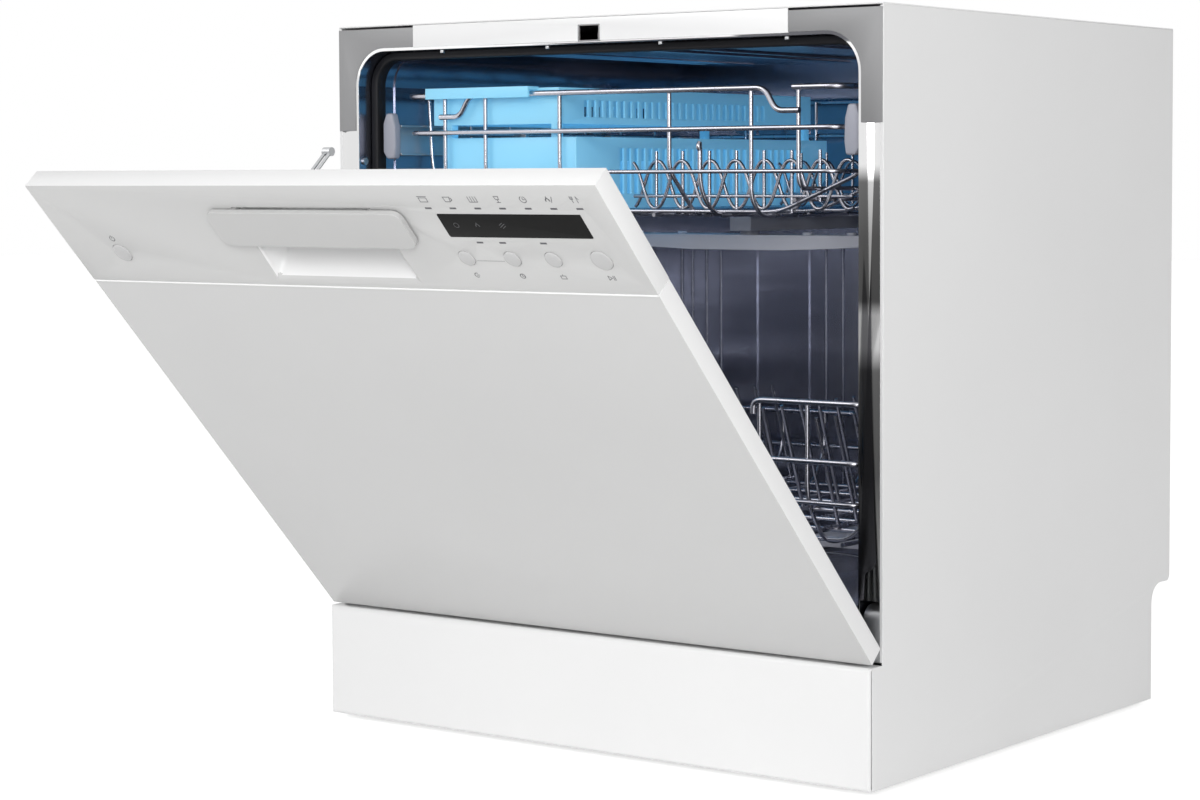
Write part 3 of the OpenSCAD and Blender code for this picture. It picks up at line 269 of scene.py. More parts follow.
def paint_right_flange_reflection(material):
    """A painted reflection: the dark room that the frame's right flange would mirror, painted into its colour
    as a tone that changes with its height.
    """
    nodes, links = material.node_tree.nodes, material.node_tree.links
    place = nodes.new("ShaderNodeTexCoord")
    parts = nodes.new("ShaderNodeSeparateXYZ")
    links.new(place.outputs["Object"], parts.inputs["Vector"])
    low, high = FLANGE_PAINTED_REFLECTION_TONES[0][0], FLANGE_TOP
    height = nodes.new("ShaderNodeMapRange")
    height.inputs["From Min"].default_value = low
    height.inputs["From Max"].default_value = high
    links.new(parts.outputs["Z"], height.inputs["Value"])
    tones = nodes.new("ShaderNodeValToRGB")
    while len(tones.color_ramp.elements) < len(FLANGE_PAINTED_REFLECTION_TONES):
        tones.color_ramp.elements.new(0.5)
    for stop, (z, tone) in zip(tones.color_ramp.elements, FLANGE_PAINTED_REFLECTION_TONES):
        stop.position = (z - low) / (high - low)
        stop.color = (tone, tone, tone, 1)
    links.new(height.outputs["Result"], tones.inputs["Fac"])
    right = nodes.new("ShaderNodeMapRange")
    right.inputs["From Min"].default_value = FLANGE_FROM
    right.inputs["From Max"].default_value = FLANGE_TO
    links.new(parts.outputs["X"], right.inputs["Value"])
    mix = nodes.new("ShaderNodeMix")
    mix.data_type = "RGBA"
    colour = nodes["Principled BSDF"].inputs["Base Color"]
    links.new(right.outputs["Result"], mix.inputs["Factor"])
    links.new(colour.links[0].from_socket, mix.inputs["A"])
    links.new(tones.outputs["Color"], mix.inputs["B"])
    links.new(mix.outputs["Result"], colour)


# Painted reflection: dark tones in the right flange's colour, changing with its height
paint_right_flange_reflection(frame_steel)


# BUILDING PIECES

def add_piece(bm, name, body, material, replaced=(), sharp=50.0):
    """Turns a bmesh into a piece that rides on a body and stands for the replaced solids."""
    mesh = bpy.data.meshes.new(name)
    bm.to_mesh(mesh)
    bm.free()
    mesh.materials.append(material)
    mesh.shade_smooth()
    mesh.set_sharp_from_angle(angle=math.radians(sharp))
    obj = bpy.data.objects.new(name, mesh)
    bpy.context.scene.collection.objects.link(obj)
    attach(obj, body)
    if replaced:
        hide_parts(*replaced)
    return obj


def block(bm, lo, hi, round_edges=0.0, segments=2):
    """A box by its lowest and highest corner, in millimetres, its edges rounded."""
    lo, hi = Vector(lo), Vector(hi)
    size = hi - lo
    place = Matrix.Translation((lo + hi) / 2000) @ Matrix.Diagonal((*(size / 1000), 1))
    made = bmesh.ops.create_cube(bm, size=1, matrix=place)
    if round_edges:
        edges = list({e for v in made["verts"] for e in v.link_edges})
        bmesh.ops.bevel(bm, geom=edges, offset=round_edges / 1000, segments=segments, affect="EDGES",
                        profile=0.5, material=-1, clamp_overlap=True)


def rod(bm, a, b, r, r_end=None, sides=16):
    """A round bar or cone from a to b, in millimetres."""
    a, b = mm(*a), mm(*b)
    turn = (b - a).to_track_quat("Z", "Y").to_matrix().to_4x4()
    bmesh.ops.create_cone(bm, cap_ends=True, segments=sides, radius1=r / 1000,
                          radius2=(r if r_end is None else r_end) / 1000, depth=(b - a).length,
                          matrix=Matrix.Translation((a + b) / 2) @ turn)


def turned(bm, outline, centre, axis, steps=48):
    """A lathe shape: outline is (radius, height) along the axis, from the axis out and back to it."""
    axis = Vector(axis).normalized()
    across = axis.orthogonal().normalized()
    centre = mm(*centre)
    verts = [bm.verts.new(centre + across * (r / 1000) + axis * (h / 1000)) for r, h in outline]
    edges = [bm.edges.new(pair) for pair in zip(verts, verts[1:])]
    bmesh.ops.spin(bm, geom=verts + edges, cent=centre, axis=axis, angle=math.tau, steps=steps,
                   use_merge=True)
    bmesh.ops.remove_doubles(bm, verts=bm.verts, dist=1e-6)
    bmesh.ops.recalc_face_normals(bm, faces=bm.faces)


def softened(node, width, name=None, body=None, material=None, segments=2, angle=35.0,
             flatten=True, wide=None, wide_width=0.0, mark=None):
    """A copy of a solid with its sharp edges rounded by width millimetres, which replaces it.

    wide picks the edges, by their midpoint, that are rounded by wide_width first, and mark the
    faces, by their middle and normal, that take their material's lighter colour as painted light."""
    solid = frame["nodes"][node]
    bm = bmesh.new()
    bm.from_mesh(solid.data)
    bmesh.ops.remove_doubles(bm, verts=bm.verts, dist=1e-6)
    if flatten:
        bmesh.ops.dissolve_limit(bm, angle_limit=math.radians(0.4), verts=bm.verts, edges=bm.edges)
    crisp = [e for e in bm.edges if e.is_manifold and e.calc_face_angle() > math.radians(angle)]
    if wide:
        chosen = [e for e in crisp if wide((e.verts[0].co + e.verts[1].co) * 500)]
        bmesh.ops.bevel(bm, geom=chosen, offset=wide_width / 1000, segments=5, affect="EDGES",
                        profile=0.5, material=-1, clamp_overlap=False)
        crisp = [e for e in bm.edges if e.is_manifold and e.calc_face_angle() > math.radians(angle)]
    bmesh.ops.bevel(bm, geom=crisp, offset=width / 1000, segments=segments, affect="EDGES",
                    profile=0.5, material=-1, clamp_overlap=True)
    # Painted light: faces the test picks take the material's lighter colour
    if mark:
        layer = bm.faces.layers.float.new("painted_light")
        bm.normal_update()
        for face in bm.faces:
            face[layer] = 1.0 if mark(face.calc_center_median() * 1000, face.normal) else 0.0
    return add_piece(bm, name or node + "_finished", body or solid["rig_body"], material, (node,))


def curved_path(points, bend, steps=6):
    """The points of a wire, its corners turned into smooth bends that start bend mm from them."""
    path = [points[0]]
    for before, corner, after in zip(points, points[1:], points[2:]):
        start = min(bend, (before - corner).length * 0.49)
        end = min(bend, (after - corner).length * 0.49)
        p = corner + (before - corner).normalized() * start
        q = corner + (after - corner).normalized() * end
        for k in range(steps + 1):
            t = k / steps
            path.append(p.lerp(corner, t).lerp(corner.lerp(q, t), t))
    path.append(points[-1])
    return path


def add_wires(name, wires, body, material, replaced=(), closed=False):
    """Round wires as one piece. Each is (points, radius, bend), in millimetres."""
    curve = bpy.data.curves.new(name + "_lines", "CURVE")
    curve.dimensions = "3D"
    curve.bevel_depth = 0.001
    curve.bevel_resolution = 3
    curve.use_fill_caps = True
    for points, radius, bend in wires:
        path = curved_path([Vector(p) for p in points], bend) if bend else [Vector(p) for p in points]
        spline = curve.splines.new("POLY")
        spline.points.add(len(path) - 1)
        for target, p in zip(spline.points, path):
            target.co = (*(p / 1000), 1)
            target.radius = radius
        spline.use_cyclic_u = closed
    draft = bpy.data.objects.new(name + "_draft", curve)
    bpy.context.scene.collection.objects.link(draft)
    bpy.context.view_layer.update()
    mesh = bpy.data.meshes.new_from_object(draft.evaluated_get(bpy.context.evaluated_depsgraph_get()))
    bpy.data.objects.remove(draft)
    bm = bmesh.new()
    bm.from_mesh(mesh)
    bpy.data.meshes.remove(mesh)
    bmesh.ops.remove_doubles(bm, verts=bm.verts, dist=1e-7)
    bmesh.ops.recalc_face_normals(bm, faces=bm.faces)
    return add_piece(bm, name, body, material, replaced)


def plate(bm, lo, hi, back, front, r, edge=0.0, steps=6):
    """An upright plate with round corners between (x, z) lo and hi, its front edge rounded."""
    rim = []
    for cx, cz, start in ((hi[0] - r, hi[1] - r, 0), (lo[0] + r, hi[1] - r, 90),
                          (lo[0] + r, lo[1] + r, 180), (hi[0] - r, lo[1] + r, 270)):
        for k in range(steps + 1):
            a = math.radians(start + 90 * k / steps)
            rim.append((cx + r * math.cos(a), cz + r * math.sin(a)))
    faces = bmesh.ops.extrude_face_region(
        bm, geom=[bm.faces.new([bm.verts.new(mm(x, back, z)) for x, z in rim])])
    ends = [v for v in faces["geom"] if isinstance(v, bmesh.types.BMVert)]
    bmesh.ops.translate(bm, vec=mm(0, front - back, 0), verts=ends)
    bmesh.ops.recalc_face_normals(bm, faces=bm.faces)
    if edge:
        outer = {e for v in ends for e in v.link_edges if all(w in ends for w in e.verts)}
        bmesh.ops.bevel(bm, geom=list(outer), offset=edge / 1000, segments=3, affect="EDGES",
                        profile=0.5, material=-1, clamp_overlap=True)


def stroke(bm, x, s, points, width=0.6, height=0.06):
    """A printed line on the door's face through points given from the place (x, s)."""
    for (ax, az), (bx, bz) in zip(points, points[1:]):
        a = face_point(x + ax, s + az)
        b = face_point(x + bx, s + bz)
        side = Vector((-(b - a).z, 0, (b - a).x)).normalized() * (width / 2)
        over = (b - a).normalized() * (width / 2)
        base = [a - over - side, b + over - side, b + over + side, a - over + side]
        low = [bm.verts.new(p / 1000) for p in base]
        top = [bm.verts.new((p - Vector((0, height, 0))) / 1000) for p in base]
        bm.faces.new(low)
        bm.faces.new(top[::-1])
        for k in range(4):
            bm.faces.new((low[k], top[k], top[(k + 1) % 4], low[(k + 1) % 4]))
    bmesh.ops.recalc_face_normals(bm, faces=bm.faces)


def arc(r, start=0, end=360, steps=14, cx=0.0, cz=0.0):
    """Points on an arc in degrees, for stroke."""
    return [(cx + r * math.cos(math.radians(start + (end - start) * k / steps)),
             cz + r * math.sin(math.radians(start + (end - start) * k / steps))) for k in range(steps + 1)]


def on_door(bm):
    """Turns what was drawn on the closed door to its resting angle."""
    bmesh.ops.transform(bm, matrix=door_pose, verts=bm.verts)


def face_point(x, s, out=0.0):
    """A point on the door's face, s up from its lower edge and out in front of it."""
    return Vector((x, DOOR_FACE - out, DOOR_LOW + s))


# CABINET

def make_cabinet():
    for node in ("side_panel_left", "side_panel_right", "top_panel"):
        softened(node, 0.55, material=cabinet_enamel, segments=3)
    softened("plinth", 0.6, material=cabinet_enamel)
    softened("base_tray", 0.8, material=base_plastic)
    softened("rear_panel", 0.35, material=zinc_steel)
    softened("front_frame", 0.25, material=frame_steel, segments=1)
    softened("corner_plates", 0.3, material=plate_steel)
    softened("top_strip", 0.3, material=strip_enamel)
    make_front_trim()
    softened("hinge_brackets", 0.8, material=zinc_steel)
    softened("door_gasket", 1.6, material=seal_rubber)
    softened("feet", 0.8, material=seal_rubber)


STRIKE_X = (-12, 7.5)
STRIKE_Z = (575.6, 587)
CLIP_X = (-160.6, -47.6, 66.6, 186.7)


def make_front_trim():
    """The rim of the strike hole and the clips that hold the seal under the top strip."""
    rim = bmesh.new()
    (x0, x1), (z0, z1) = STRIKE_X, STRIKE_Z
    side, lip = 1.4, 1.2
    for lo, hi in (((x0 - side, z0 - lip), (x1 + side, z0)), ((x0 - side, z1), (x1 + side, z1 + lip)),
                   ((x0 - side, z0), (x0, z1)), ((x1, z0), (x1 + side, z1))):
        block(rim, (lo[0], FRAME_FRONT - 1.0, lo[1]), (hi[0], FRAME_FRONT + 0.3, hi[1]), 0.25)
    block(rim, (x1 - 4.5, FRAME_FRONT + 4, z0), (x1, FRAME_FRONT + 6, z0 + 6), 0.4)
    add_piece(rim, "strike_rim", "cabinet", plate_steel)
    clips = bmesh.new()
    for x in CLIP_X:
        block(clips, (x - 1.6, -229.5, 570), (x + 1.6, -227, 572.6), 0.3)
    add_piece(clips, "seal_clips", "cabinet", zinc_steel)


REAR_RIBS_X = (-235, -222, -205, -188, -66, -47, 66, 84, 188, 205, 222)
SIDE_RIBS_Y = (-128, -112, -20, -4, 92, 108)
CEILING_RIBS_X = (-150, -128, -20, 20, 128, 150)
RIB_Z = (172, 402)
RIB_R, CEILING_RIB_R, RIB_SUNK = 1.7, 2.2, 0.3


def make_tub_pressings():
    """Pressed ribs on the tub's rear and side walls and ridges in its ceiling."""
    bm = bmesh.new()
    low, high = RIB_Z
    rear, ceiling = TUB_REAR - RIB_SUNK, TUB_TOP - RIB_SUNK
    for x in REAR_RIBS_X:
        rod(bm, (x, rear, low), (x, rear, high), RIB_R, sides=12)
    for wall in (RIB_SUNK - TUB_HALF, TUB_HALF - RIB_SUNK):
        for y in SIDE_RIBS_Y:
            rod(bm, (wall, y, low), (wall, y, high), RIB_R, sides=12)
    for x in CEILING_RIBS_X:
        rod(bm, (x, -165, ceiling), (x, 180, ceiling), CEILING_RIB_R, sides=12)
    add_piece(bm, "tub_pressings", "cabinet", tub_steel)


def make_inside():
    make_tub_pressings()
    softened("filter_cup", 0.5, material=grey_plastic)
    softened("salt_cap", 1.0, material=base_plastic)
    softened("float_dome", 0.8, material=base_plastic)
    softened("feed_pipe", 2.5, material=grey_plastic, segments=3)
    softened("spray_duct", 1.5, material=grey_plastic, segments=3)
    for node in ("upper_spray_arm", "lower_spray_arm"):
        softened(node, 2.6, material=pale_grey_plastic, segments=4)
    softened("slide_rails", 0.3, material=zinc_steel)
    softened("rail_stops", 2.0, material=grey_plastic, segments=3)
    for node in ("rail_rollers_front", "rail_rollers_rear", "basket_rollers_front", "basket_rollers_rear",
                 "lower_wheels_front", "lower_wheels_rear"):
        softened(node, 0.7, material=pale_grey_plastic)
    softened("cutlery_tray", 0.5, material=cyan_plastic)
    softened("cutlery_basket", 0.5, material=cyan_plastic)


RECESS_X = (-70, 66)
RECESS_LOW = 399


def on_recess_mouth(point):
    """True for the lower edges of the finger recess, seen with the door shut."""
    x, y, z = (door_pose.inverted() @ (point / 1000)) * 1000
    s = z - DOOR_LOW
    return (RECESS_X[0] - 1 < x < RECESS_X[1] + 1 and y < DOOR_FACE + 26.5
            and RECESS_LOW - 1 < s < RECESS_LOW + 38 and y > DOOR_FACE - 0.5)


def make_handle_lip():
    """The strip that closes the recess over the handle, and a painted highlight: a bright white bead along
    the door panel's upper edge, in place of the light that edge catches.
    """
    bm = bmesh.new()
    block(bm, (RECESS_X[0] - 0.2, DOOR_FACE, 573.7), (RECESS_X[1] + 0.2, DOOR_FACE + 0.3, 574.5))
    on_door(bm)
    add_piece(bm, "recess_cover", "door", panel_plastic)
    # Painted highlight: a whiter bead standing in for light caught by the panel's upper edge
    highlight_bead = bmesh.new()
    rod(highlight_bead, (-274.3, DOOR_FACE + 0.25, 493.9), (274.3, DOOR_FACE + 0.25, 493.9), 0.75, sides=16)
    on_door(highlight_bead)
    add_piece(highlight_bead, "panel_edge_painted_highlight", "door", strip_enamel)


WINDOW_X = (123, 248)
WINDOW_S = (443.5, 465.5)


def drop(r, tip, cx=0.0, cz=0.0):
    """The outline of a water drop, its tip over its round bottom."""
    bowl = arc(r, 200, -20, cx=cx, cz=cz)
    return bowl + [(cx, tip), bowl[0]]


DISPLAY_SIGN_S = 455
DISPLAY_SIGNS = (
    (135.3, [arc(2.1)]),
    (154, [drop(1.6, 2.4, cz=-0.5)]),
    (176, [[(-2.4, -1.6), (2.4, 1.6)], [(-2.4, 0.4), (0.6, 2.4)], [(-0.4, -2.4), (2.4, -0.5)]]),
)


def make_display():
    """The dark pane and the faint signs on it."""
    bm = bmesh.new()
    gap = 0.05
    lo = (WINDOW_X[0] + gap, DOOR_LOW + WINDOW_S[0] + gap)
    hi = (WINDOW_X[1] - gap, DOOR_LOW + WINDOW_S[1] - gap)
    plate(bm, lo, hi, DOOR_FACE + 1.6, DOOR_FACE - 0.15, 1.6, 0.2)
    on_door(bm)
    add_piece(bm, "display_pane", "door", display_glass, ("display_window",))
    marks = bmesh.new()
    for x, shape in DISPLAY_SIGNS:
        for line in shape:
            stroke(marks, x, DISPLAY_SIGN_S, line, 0.5, 0.22)
    on_door(marks)
    add_piece(marks, "display_marks", "door", print_faint)


LIGHT_X = (119.3, 141.4, 163.4, 185.1, 207.2, 228.9, 250.7)
PROGRAMME_SIGNS = (
    [[(-3, -2), (-3, 1.2), (3, 1.2), (3, -2), (-3, -2)], [(-3.5, 2.2), (3.5, 2.2)]],
    [[(-3, 1.8), (-2.4, -1.8), (1.4, -1.8), (2, 1.8), (-3, 1.8)], arc(1.1, -80, 80, cx=2.1)],
    [[(x, -2), (x, 2)] for x in (-3, -1, 1, 3)] + [[(-3, -2), (3, -2)]],
    [[(-1.7, 2.4), (-1.1, 0), (1.1, 0), (1.7, 2.4), (-1.7, 2.4)], [(0, 0), (0, -2.2)],
     [(-1.3, -2.2), (1.3, -2.2)]],
    [arc(2.3, 110, 430), [(0, 1.4), (0, 0), (1.2, 0)]],
    [drop(1.5, 2.2, cx=-1, cz=-0.7), [(1.4, -2), (3, 2)]],
    [[(-2, -2.2), (-2, 2.2)], [(-2.9, 2.2), (-2.9, 0.4), (-1.1, 0.4), (-1.1, 2.2)],
     [(1.6, -2.2), (1.6, 2.2), (2.8, 0.2)]],
)
SIGN_S = 479
LINK_LINE = [(134, 421), (158.5, 421)]
# Place across and up the door's face, then the lines of the sign
BUTTON_SIGNS = (
    (125.9, 407, [arc(2.0, 60, 300), [(0, 0), (2, 0)]]),
    (166.7, 407, [arc(2.1), [(0, 1.3), (0, 0), (1, -0.6)]]),
    (202.4, 407, [[(-2.2, -1.8), (-2.2, 1), (2.2, 1), (2.2, -1.8), (-2.2, -1.8)], [(0, 1), (0, 2.2)]]),
    (243.6, 407, [[(-2.6, -1.9), (-2.6, 1.9), (0.4, 0), (-2.6, -1.9)], [(1.6, -1.9), (1.6, 1.9)],
                  [(2.8, -1.9), (2.8, 1.9)]]),
    (-219.7, 437, [arc(2.4, 120, 420), [(0, 3), (0, 0.6)]]),
)


def make_prints():
    """Small generic signs over the lamps and beside the buttons, and the line between two of them."""
    bm = bmesh.new()
    for x, lines in zip(LIGHT_X, PROGRAMME_SIGNS):
        for line in lines:
            stroke(bm, x, SIGN_S, [(1.12 * a, 1.2 * b) for a, b in line])
    for x, s, lines in BUTTON_SIGNS:
        for line in lines:
            stroke(bm, x, s, line)
    stroke(bm, 0, 0, LINK_LINE, 0.3)
    on_door(bm)
    add_piece(bm, "panel_signs", "door", print_grey)


# Place across and up the door's face, and diameter
BUTTONS = {"power_button": (-219.7, 422, 17), "programme_button": (125.9, 423.3, 13.5),
           "delay_button": (166.7, 423.3, 13.5), "option_button": (202.4, 423.3, 13.5),
           "start_button": (243.6, 423.3, 17)}


def make_buttons():
    """Round buttons with a low dome, each on its stem."""
    rim, top, back = 0.15, 1.6, -4.9
    for node, (x, s, d) in BUTTONS.items():
        r = d / 2
        crown = [(r * t, rim + (top - rim) * (1 - t ** 2.4) ** 0.55)
                 for t in (1, 0.985, 0.95, 0.9, 0.8, 0.66, 0.5, 0.33, 0.16)]
        outline = [(0, back), (r - 0.5, back), (r, back + 0.5)] + crown + [(0, top)]
        bm = bmesh.new()
        turned(bm, outline, face_point(x, s), (0, -1, 0), 40)
        rod(bm, face_point(x, s, back + 0.3), face_point(x, s, -6.5), 3)
        on_door(bm)
        body = frame["nodes"][node]["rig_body"]
        add_piece(bm, node + "_dome", body, button_plastic, (node,))


def make_latch():
    """The catch on the door's top edge: a bent loop with a round bar across its tip."""
    y0, y1, z = -238, -198.6, 581.5
    bm = bmesh.new()
    for x in (-4.7, 0.2):
        rod(bm, (x, y0, z), (x, y1 - 4, z + 0.2), 1.25, sides=14)
    rod(bm, (-5.9, y1 - 1.8, z + 0.2), (1.4, y1 - 1.8, z + 0.2), 3.2, sides=28)
    rod(bm, (-6, y0, z), (1.5, y0, z), 3.3, sides=28)
    block(bm, (-4.7, y0, z - 0.8), (0.2, y0 + 16, z + 0.8), 0.3)
    on_door(bm)
    add_piece(bm, "latch_loop", "latch", zinc_steel, ("latch_hook",))


def painted_light_faces(point, normal):
    """True for the door's edges and the inside of its finger recess, which take the lighter of two tones of
    one white as painted light.
    """
    front = (door_pose.to_3x3() @ Vector((0, -1, 0))).dot(normal)
    deep = (door_pose.inverted() @ (point / 1000)).y * 1000 - DOOR_FACE
    return front < 0.55 or deep > 4


def make_door():
    softened("door_panel", 1.0, material=door_enamel, segments=3, mark=painted_light_faces)
    softened("control_panel", 0.6, material=panel_plastic, segments=2,
             wide=on_recess_mouth, wide_width=3.2, mark=painted_light_faces)
    softened("handle_plate", 1.1, material=handle_plastic, segments=4)
    make_handle_lip()
    make_display()
    make_prints()
    make_latch()
    make_buttons()
    softened("dispenser_housing", 0.8, material=grey_plastic, segments=3)
    softened("dispenser_lid", 0.5, material=pale_grey_plastic, segments=3)
    softened("rinse_aid_cap", 0.6, material=cap_blue)
    softened("door_liner", 0.6, material=liner_steel)
    softened("hinge_arms", 0.4, material=zinc_steel)


PLAIN = {
    "tub": (tub_steel, "steel"),
    "door_springs": (zinc_steel, "galvanised"),
    "sump": (grey_plastic, "grey_plastic"),
    "wash_pump": (dark_plastic, "dark_plastic"),
    "drain_pump": (grey_plastic, "grey_plastic"),
    "softener": (port_plastic, "white_plastic"),
    "inlet_valve": (port_plastic, "white_plastic"),
    "cord_gland": (dark_plastic, "dark_plastic"),
    "case_screws": (zinc_steel, "galvanised"),
    "filter_plate": (liner_steel, "steel"),
    "indicator_lights": (lamp_plastic, "lamp"),
    "control_board": (board_green, "circuit"),
}


def dress_plain_solids():
    for node, (material, slot) in PLAIN.items():
        solid = frame["nodes"][node]
        solid.data.materials.clear()
        solid.data.materials.append(material)


# BASKETS

UPPER_HALF = 225
UPPER_LOW_LEFT, UPPER_LOW_RIGHT = -197, 142
UPPER_FRONT, UPPER_REAR = -206, 180
UPPER_RIM, UPPER_MID, UPPER_LOW, UPPER_FLOOR = 535, 503.7, 470, 435
LOWER_HALF, LOWER_LOW_HALF = 240, 206
LOWER_FRONT, LOWER_REAR = -203, 183
LOWER_RIM, LOWER_BAND, LOWER_LOW, LOWER_FLOOR = 291, 245, 213, 178
LOWER_EDGE_X, AXLE_Z = 204, 152.3
WIRE, RIM_WIRE, CROSS = 1.75, 2.4, 3.0
HOOP_Y = [-172 + 54 * i for i in range(7)]
FENCE_X = (56, 135.5, 180)


def level_ring(half, y0, y1, z, r, corner):
    """A level wire round a basket, open at the middle of its rear side."""
    return ([(0, y1, z), (-half, y1, z), (-half, y0, z), (half, y0, z), (half, y1, z), (0, y1, z)], r, corner)


def slope_height(x):
    """Height of the hoops over the upper basket's right slope."""
    low = UPPER_FLOOR + CROSS
    return low + (UPPER_LOW - low) * (x - UPPER_LOW_RIGHT) / (UPPER_HALF - 4 - UPPER_LOW_RIGHT)


def make_upper_basket():
    """Hoops across, fence and floor wires along, rims and the pins of its rollers."""
    z, y0 = UPPER_FLOOR + CROSS, UPPER_FRONT + CROSS
    wires = []
    for y in HOOP_Y:
        wires.append(([(-UPPER_HALF, y, UPPER_RIM), (-UPPER_HALF + 4, y, UPPER_LOW), (UPPER_LOW_LEFT, y, z),
                       (UPPER_LOW_RIGHT, y, z), (UPPER_HALF - 4, y, UPPER_LOW), (UPPER_HALF, y, UPPER_RIM)],
                      WIRE, 14))
    fence = [(-x, 27, 25, UPPER_FLOOR, 16) for x in FENCE_X]
    fence += [(FENCE_X[0], 36, 36, UPPER_FLOOR, 8), (FENCE_X[1], 14, 13, UPPER_FLOOR, 8),
              (FENCE_X[2], 6, 6, slope_height(FENCE_X[2]) + CROSS, 5)]
    for x, rise, run, floor, bend in fence:
        wires.append(([(x, y0, UPPER_RIM), (x, y0, floor + rise), (x, y0 + run, floor),
                       (x, UPPER_REAR - 22, floor), (x, UPPER_REAR, UPPER_FLOOR + 27),
                       (x, UPPER_REAR, UPPER_RIM)], WIRE, bend))
    wires.append(([(86, y0, 492), (86, y0, UPPER_FLOOR + 20), (86, y0 + 20, UPPER_FLOOR),
                   (86, UPPER_REAR - 26, UPPER_FLOOR)], WIRE + 0.1, 15))
    wires.append(([(86, y0, 493), (86, y0 - 2.5, 490), (86, y0, 487)], WIRE + 0.2, 3))
    for x in (-158, -96, -20, 20):
        wires.append(([(x, UPPER_FRONT + 30, UPPER_FLOOR), (x, UPPER_REAR - 26, UPPER_FLOOR)], WIRE, 0))
    over = slope_height(158) + CROSS
    wires.append(([(158, UPPER_FRONT + 30, over), (158, UPPER_REAR - 26, over)], WIRE, 0))
    for side in (-1, 1):
        dip = UPPER_RIM - 18
        wires.append(([(0, UPPER_FRONT, UPPER_RIM), (side * 150, UPPER_FRONT, UPPER_RIM),
                       (side * 161, UPPER_FRONT, dip), (side * 183, UPPER_FRONT, dip)], RIM_WIRE, 7))
        edge = side * (UPPER_HALF - CROSS)
        wires.append(([(side * 177, UPPER_FRONT, UPPER_RIM), (edge, UPPER_FRONT, UPPER_RIM),
                       (edge, UPPER_REAR + CROSS, UPPER_RIM), (0, UPPER_REAR + CROSS, UPPER_RIM)],
                      RIM_WIRE, 16))
    wires.append(level_ring(UPPER_HALF - 5, UPPER_FRONT, UPPER_REAR + CROSS, UPPER_MID, WIRE + 0.3, 16))
    wires.append(level_ring(UPPER_HALF - 4 - CROSS, UPPER_FRONT, UPPER_REAR + CROSS, UPPER_LOW, WIRE, 18))
    add_wires("upper_basket_wires", wires, "upper_basket", wire_steel, ("upper_basket_frame",))
    pins = bmesh.new()
    inner, outer, pin_end, pin_z, pin_r = 211, 224, 234.2, 498, 2.5
    for side in (-1, 1):
        near, far = sorted((side * inner, side * outer))
        for y in (-55, 70):
            rod(pins, (side * inner, y, pin_z), (side * pin_end, y, pin_z), pin_r)
            block(pins, (near, y - pin_r, pin_z - 7), (far, y + pin_r, pin_z + 7), 0.6)
    add_piece(pins, "upper_roller_pins", "upper_basket", zinc_steel)


WAVE_LOW, WAVE_HIGH, WAVE_PITCH, WAVE_CREST_X = 440, 479, 54, 26
ROW_X = (-24, 192)
ROW_Y = (-145, 71)
ROW_WIRE_Z, ROW_PIN_TOP, ROW_GAP = 450, 487, 2.7


def wave_height(turn):
    """Height of a wavy wire, its crests and dips a little flattened."""
    shape = math.sin(math.tau * turn) + 0.05 * math.sin(3 * math.tau * turn)
    return (WAVE_LOW + WAVE_HIGH) / 2 + (WAVE_HIGH - WAVE_LOW) / 2 * shape / 0.95


def make_upper_waves():
    """Two rows of crossing wavy wires, with a straight wire and pins between them."""
    steps = 24
    start, end = ROW_X
    wires = []
    for y in ROW_Y:
        for shift, phase in ((0, 0), (ROW_GAP, 0.5)):
            count = int((end - start) / WAVE_PITCH * steps)
            path = [(x, y + shift, wave_height((x - WAVE_CREST_X) / WAVE_PITCH + 0.25 + phase))
                    for x in (start + (end - start) * i / count for i in range(count + 1))]
            wires.append((path, 1.5, 0))
        middle = y + ROW_GAP / 2
        wires.append(([(start, middle, ROW_WIRE_Z), (end, middle, ROW_WIRE_Z)], 1.5, 0))
        for k in range(-1, 6):
            x = WAVE_CREST_X + k * WAVE_PITCH / 2
            low = slope_height(x) if x > UPPER_LOW_RIGHT else UPPER_FLOOR + 0.5
            wires.append(([(x, middle, low), (x, middle, ROW_PIN_TOP)], 1.45, 0))
    add_wires("upper_wave_wires", wires, "upper_basket", wire_steel, ("upper_basket_waves",))


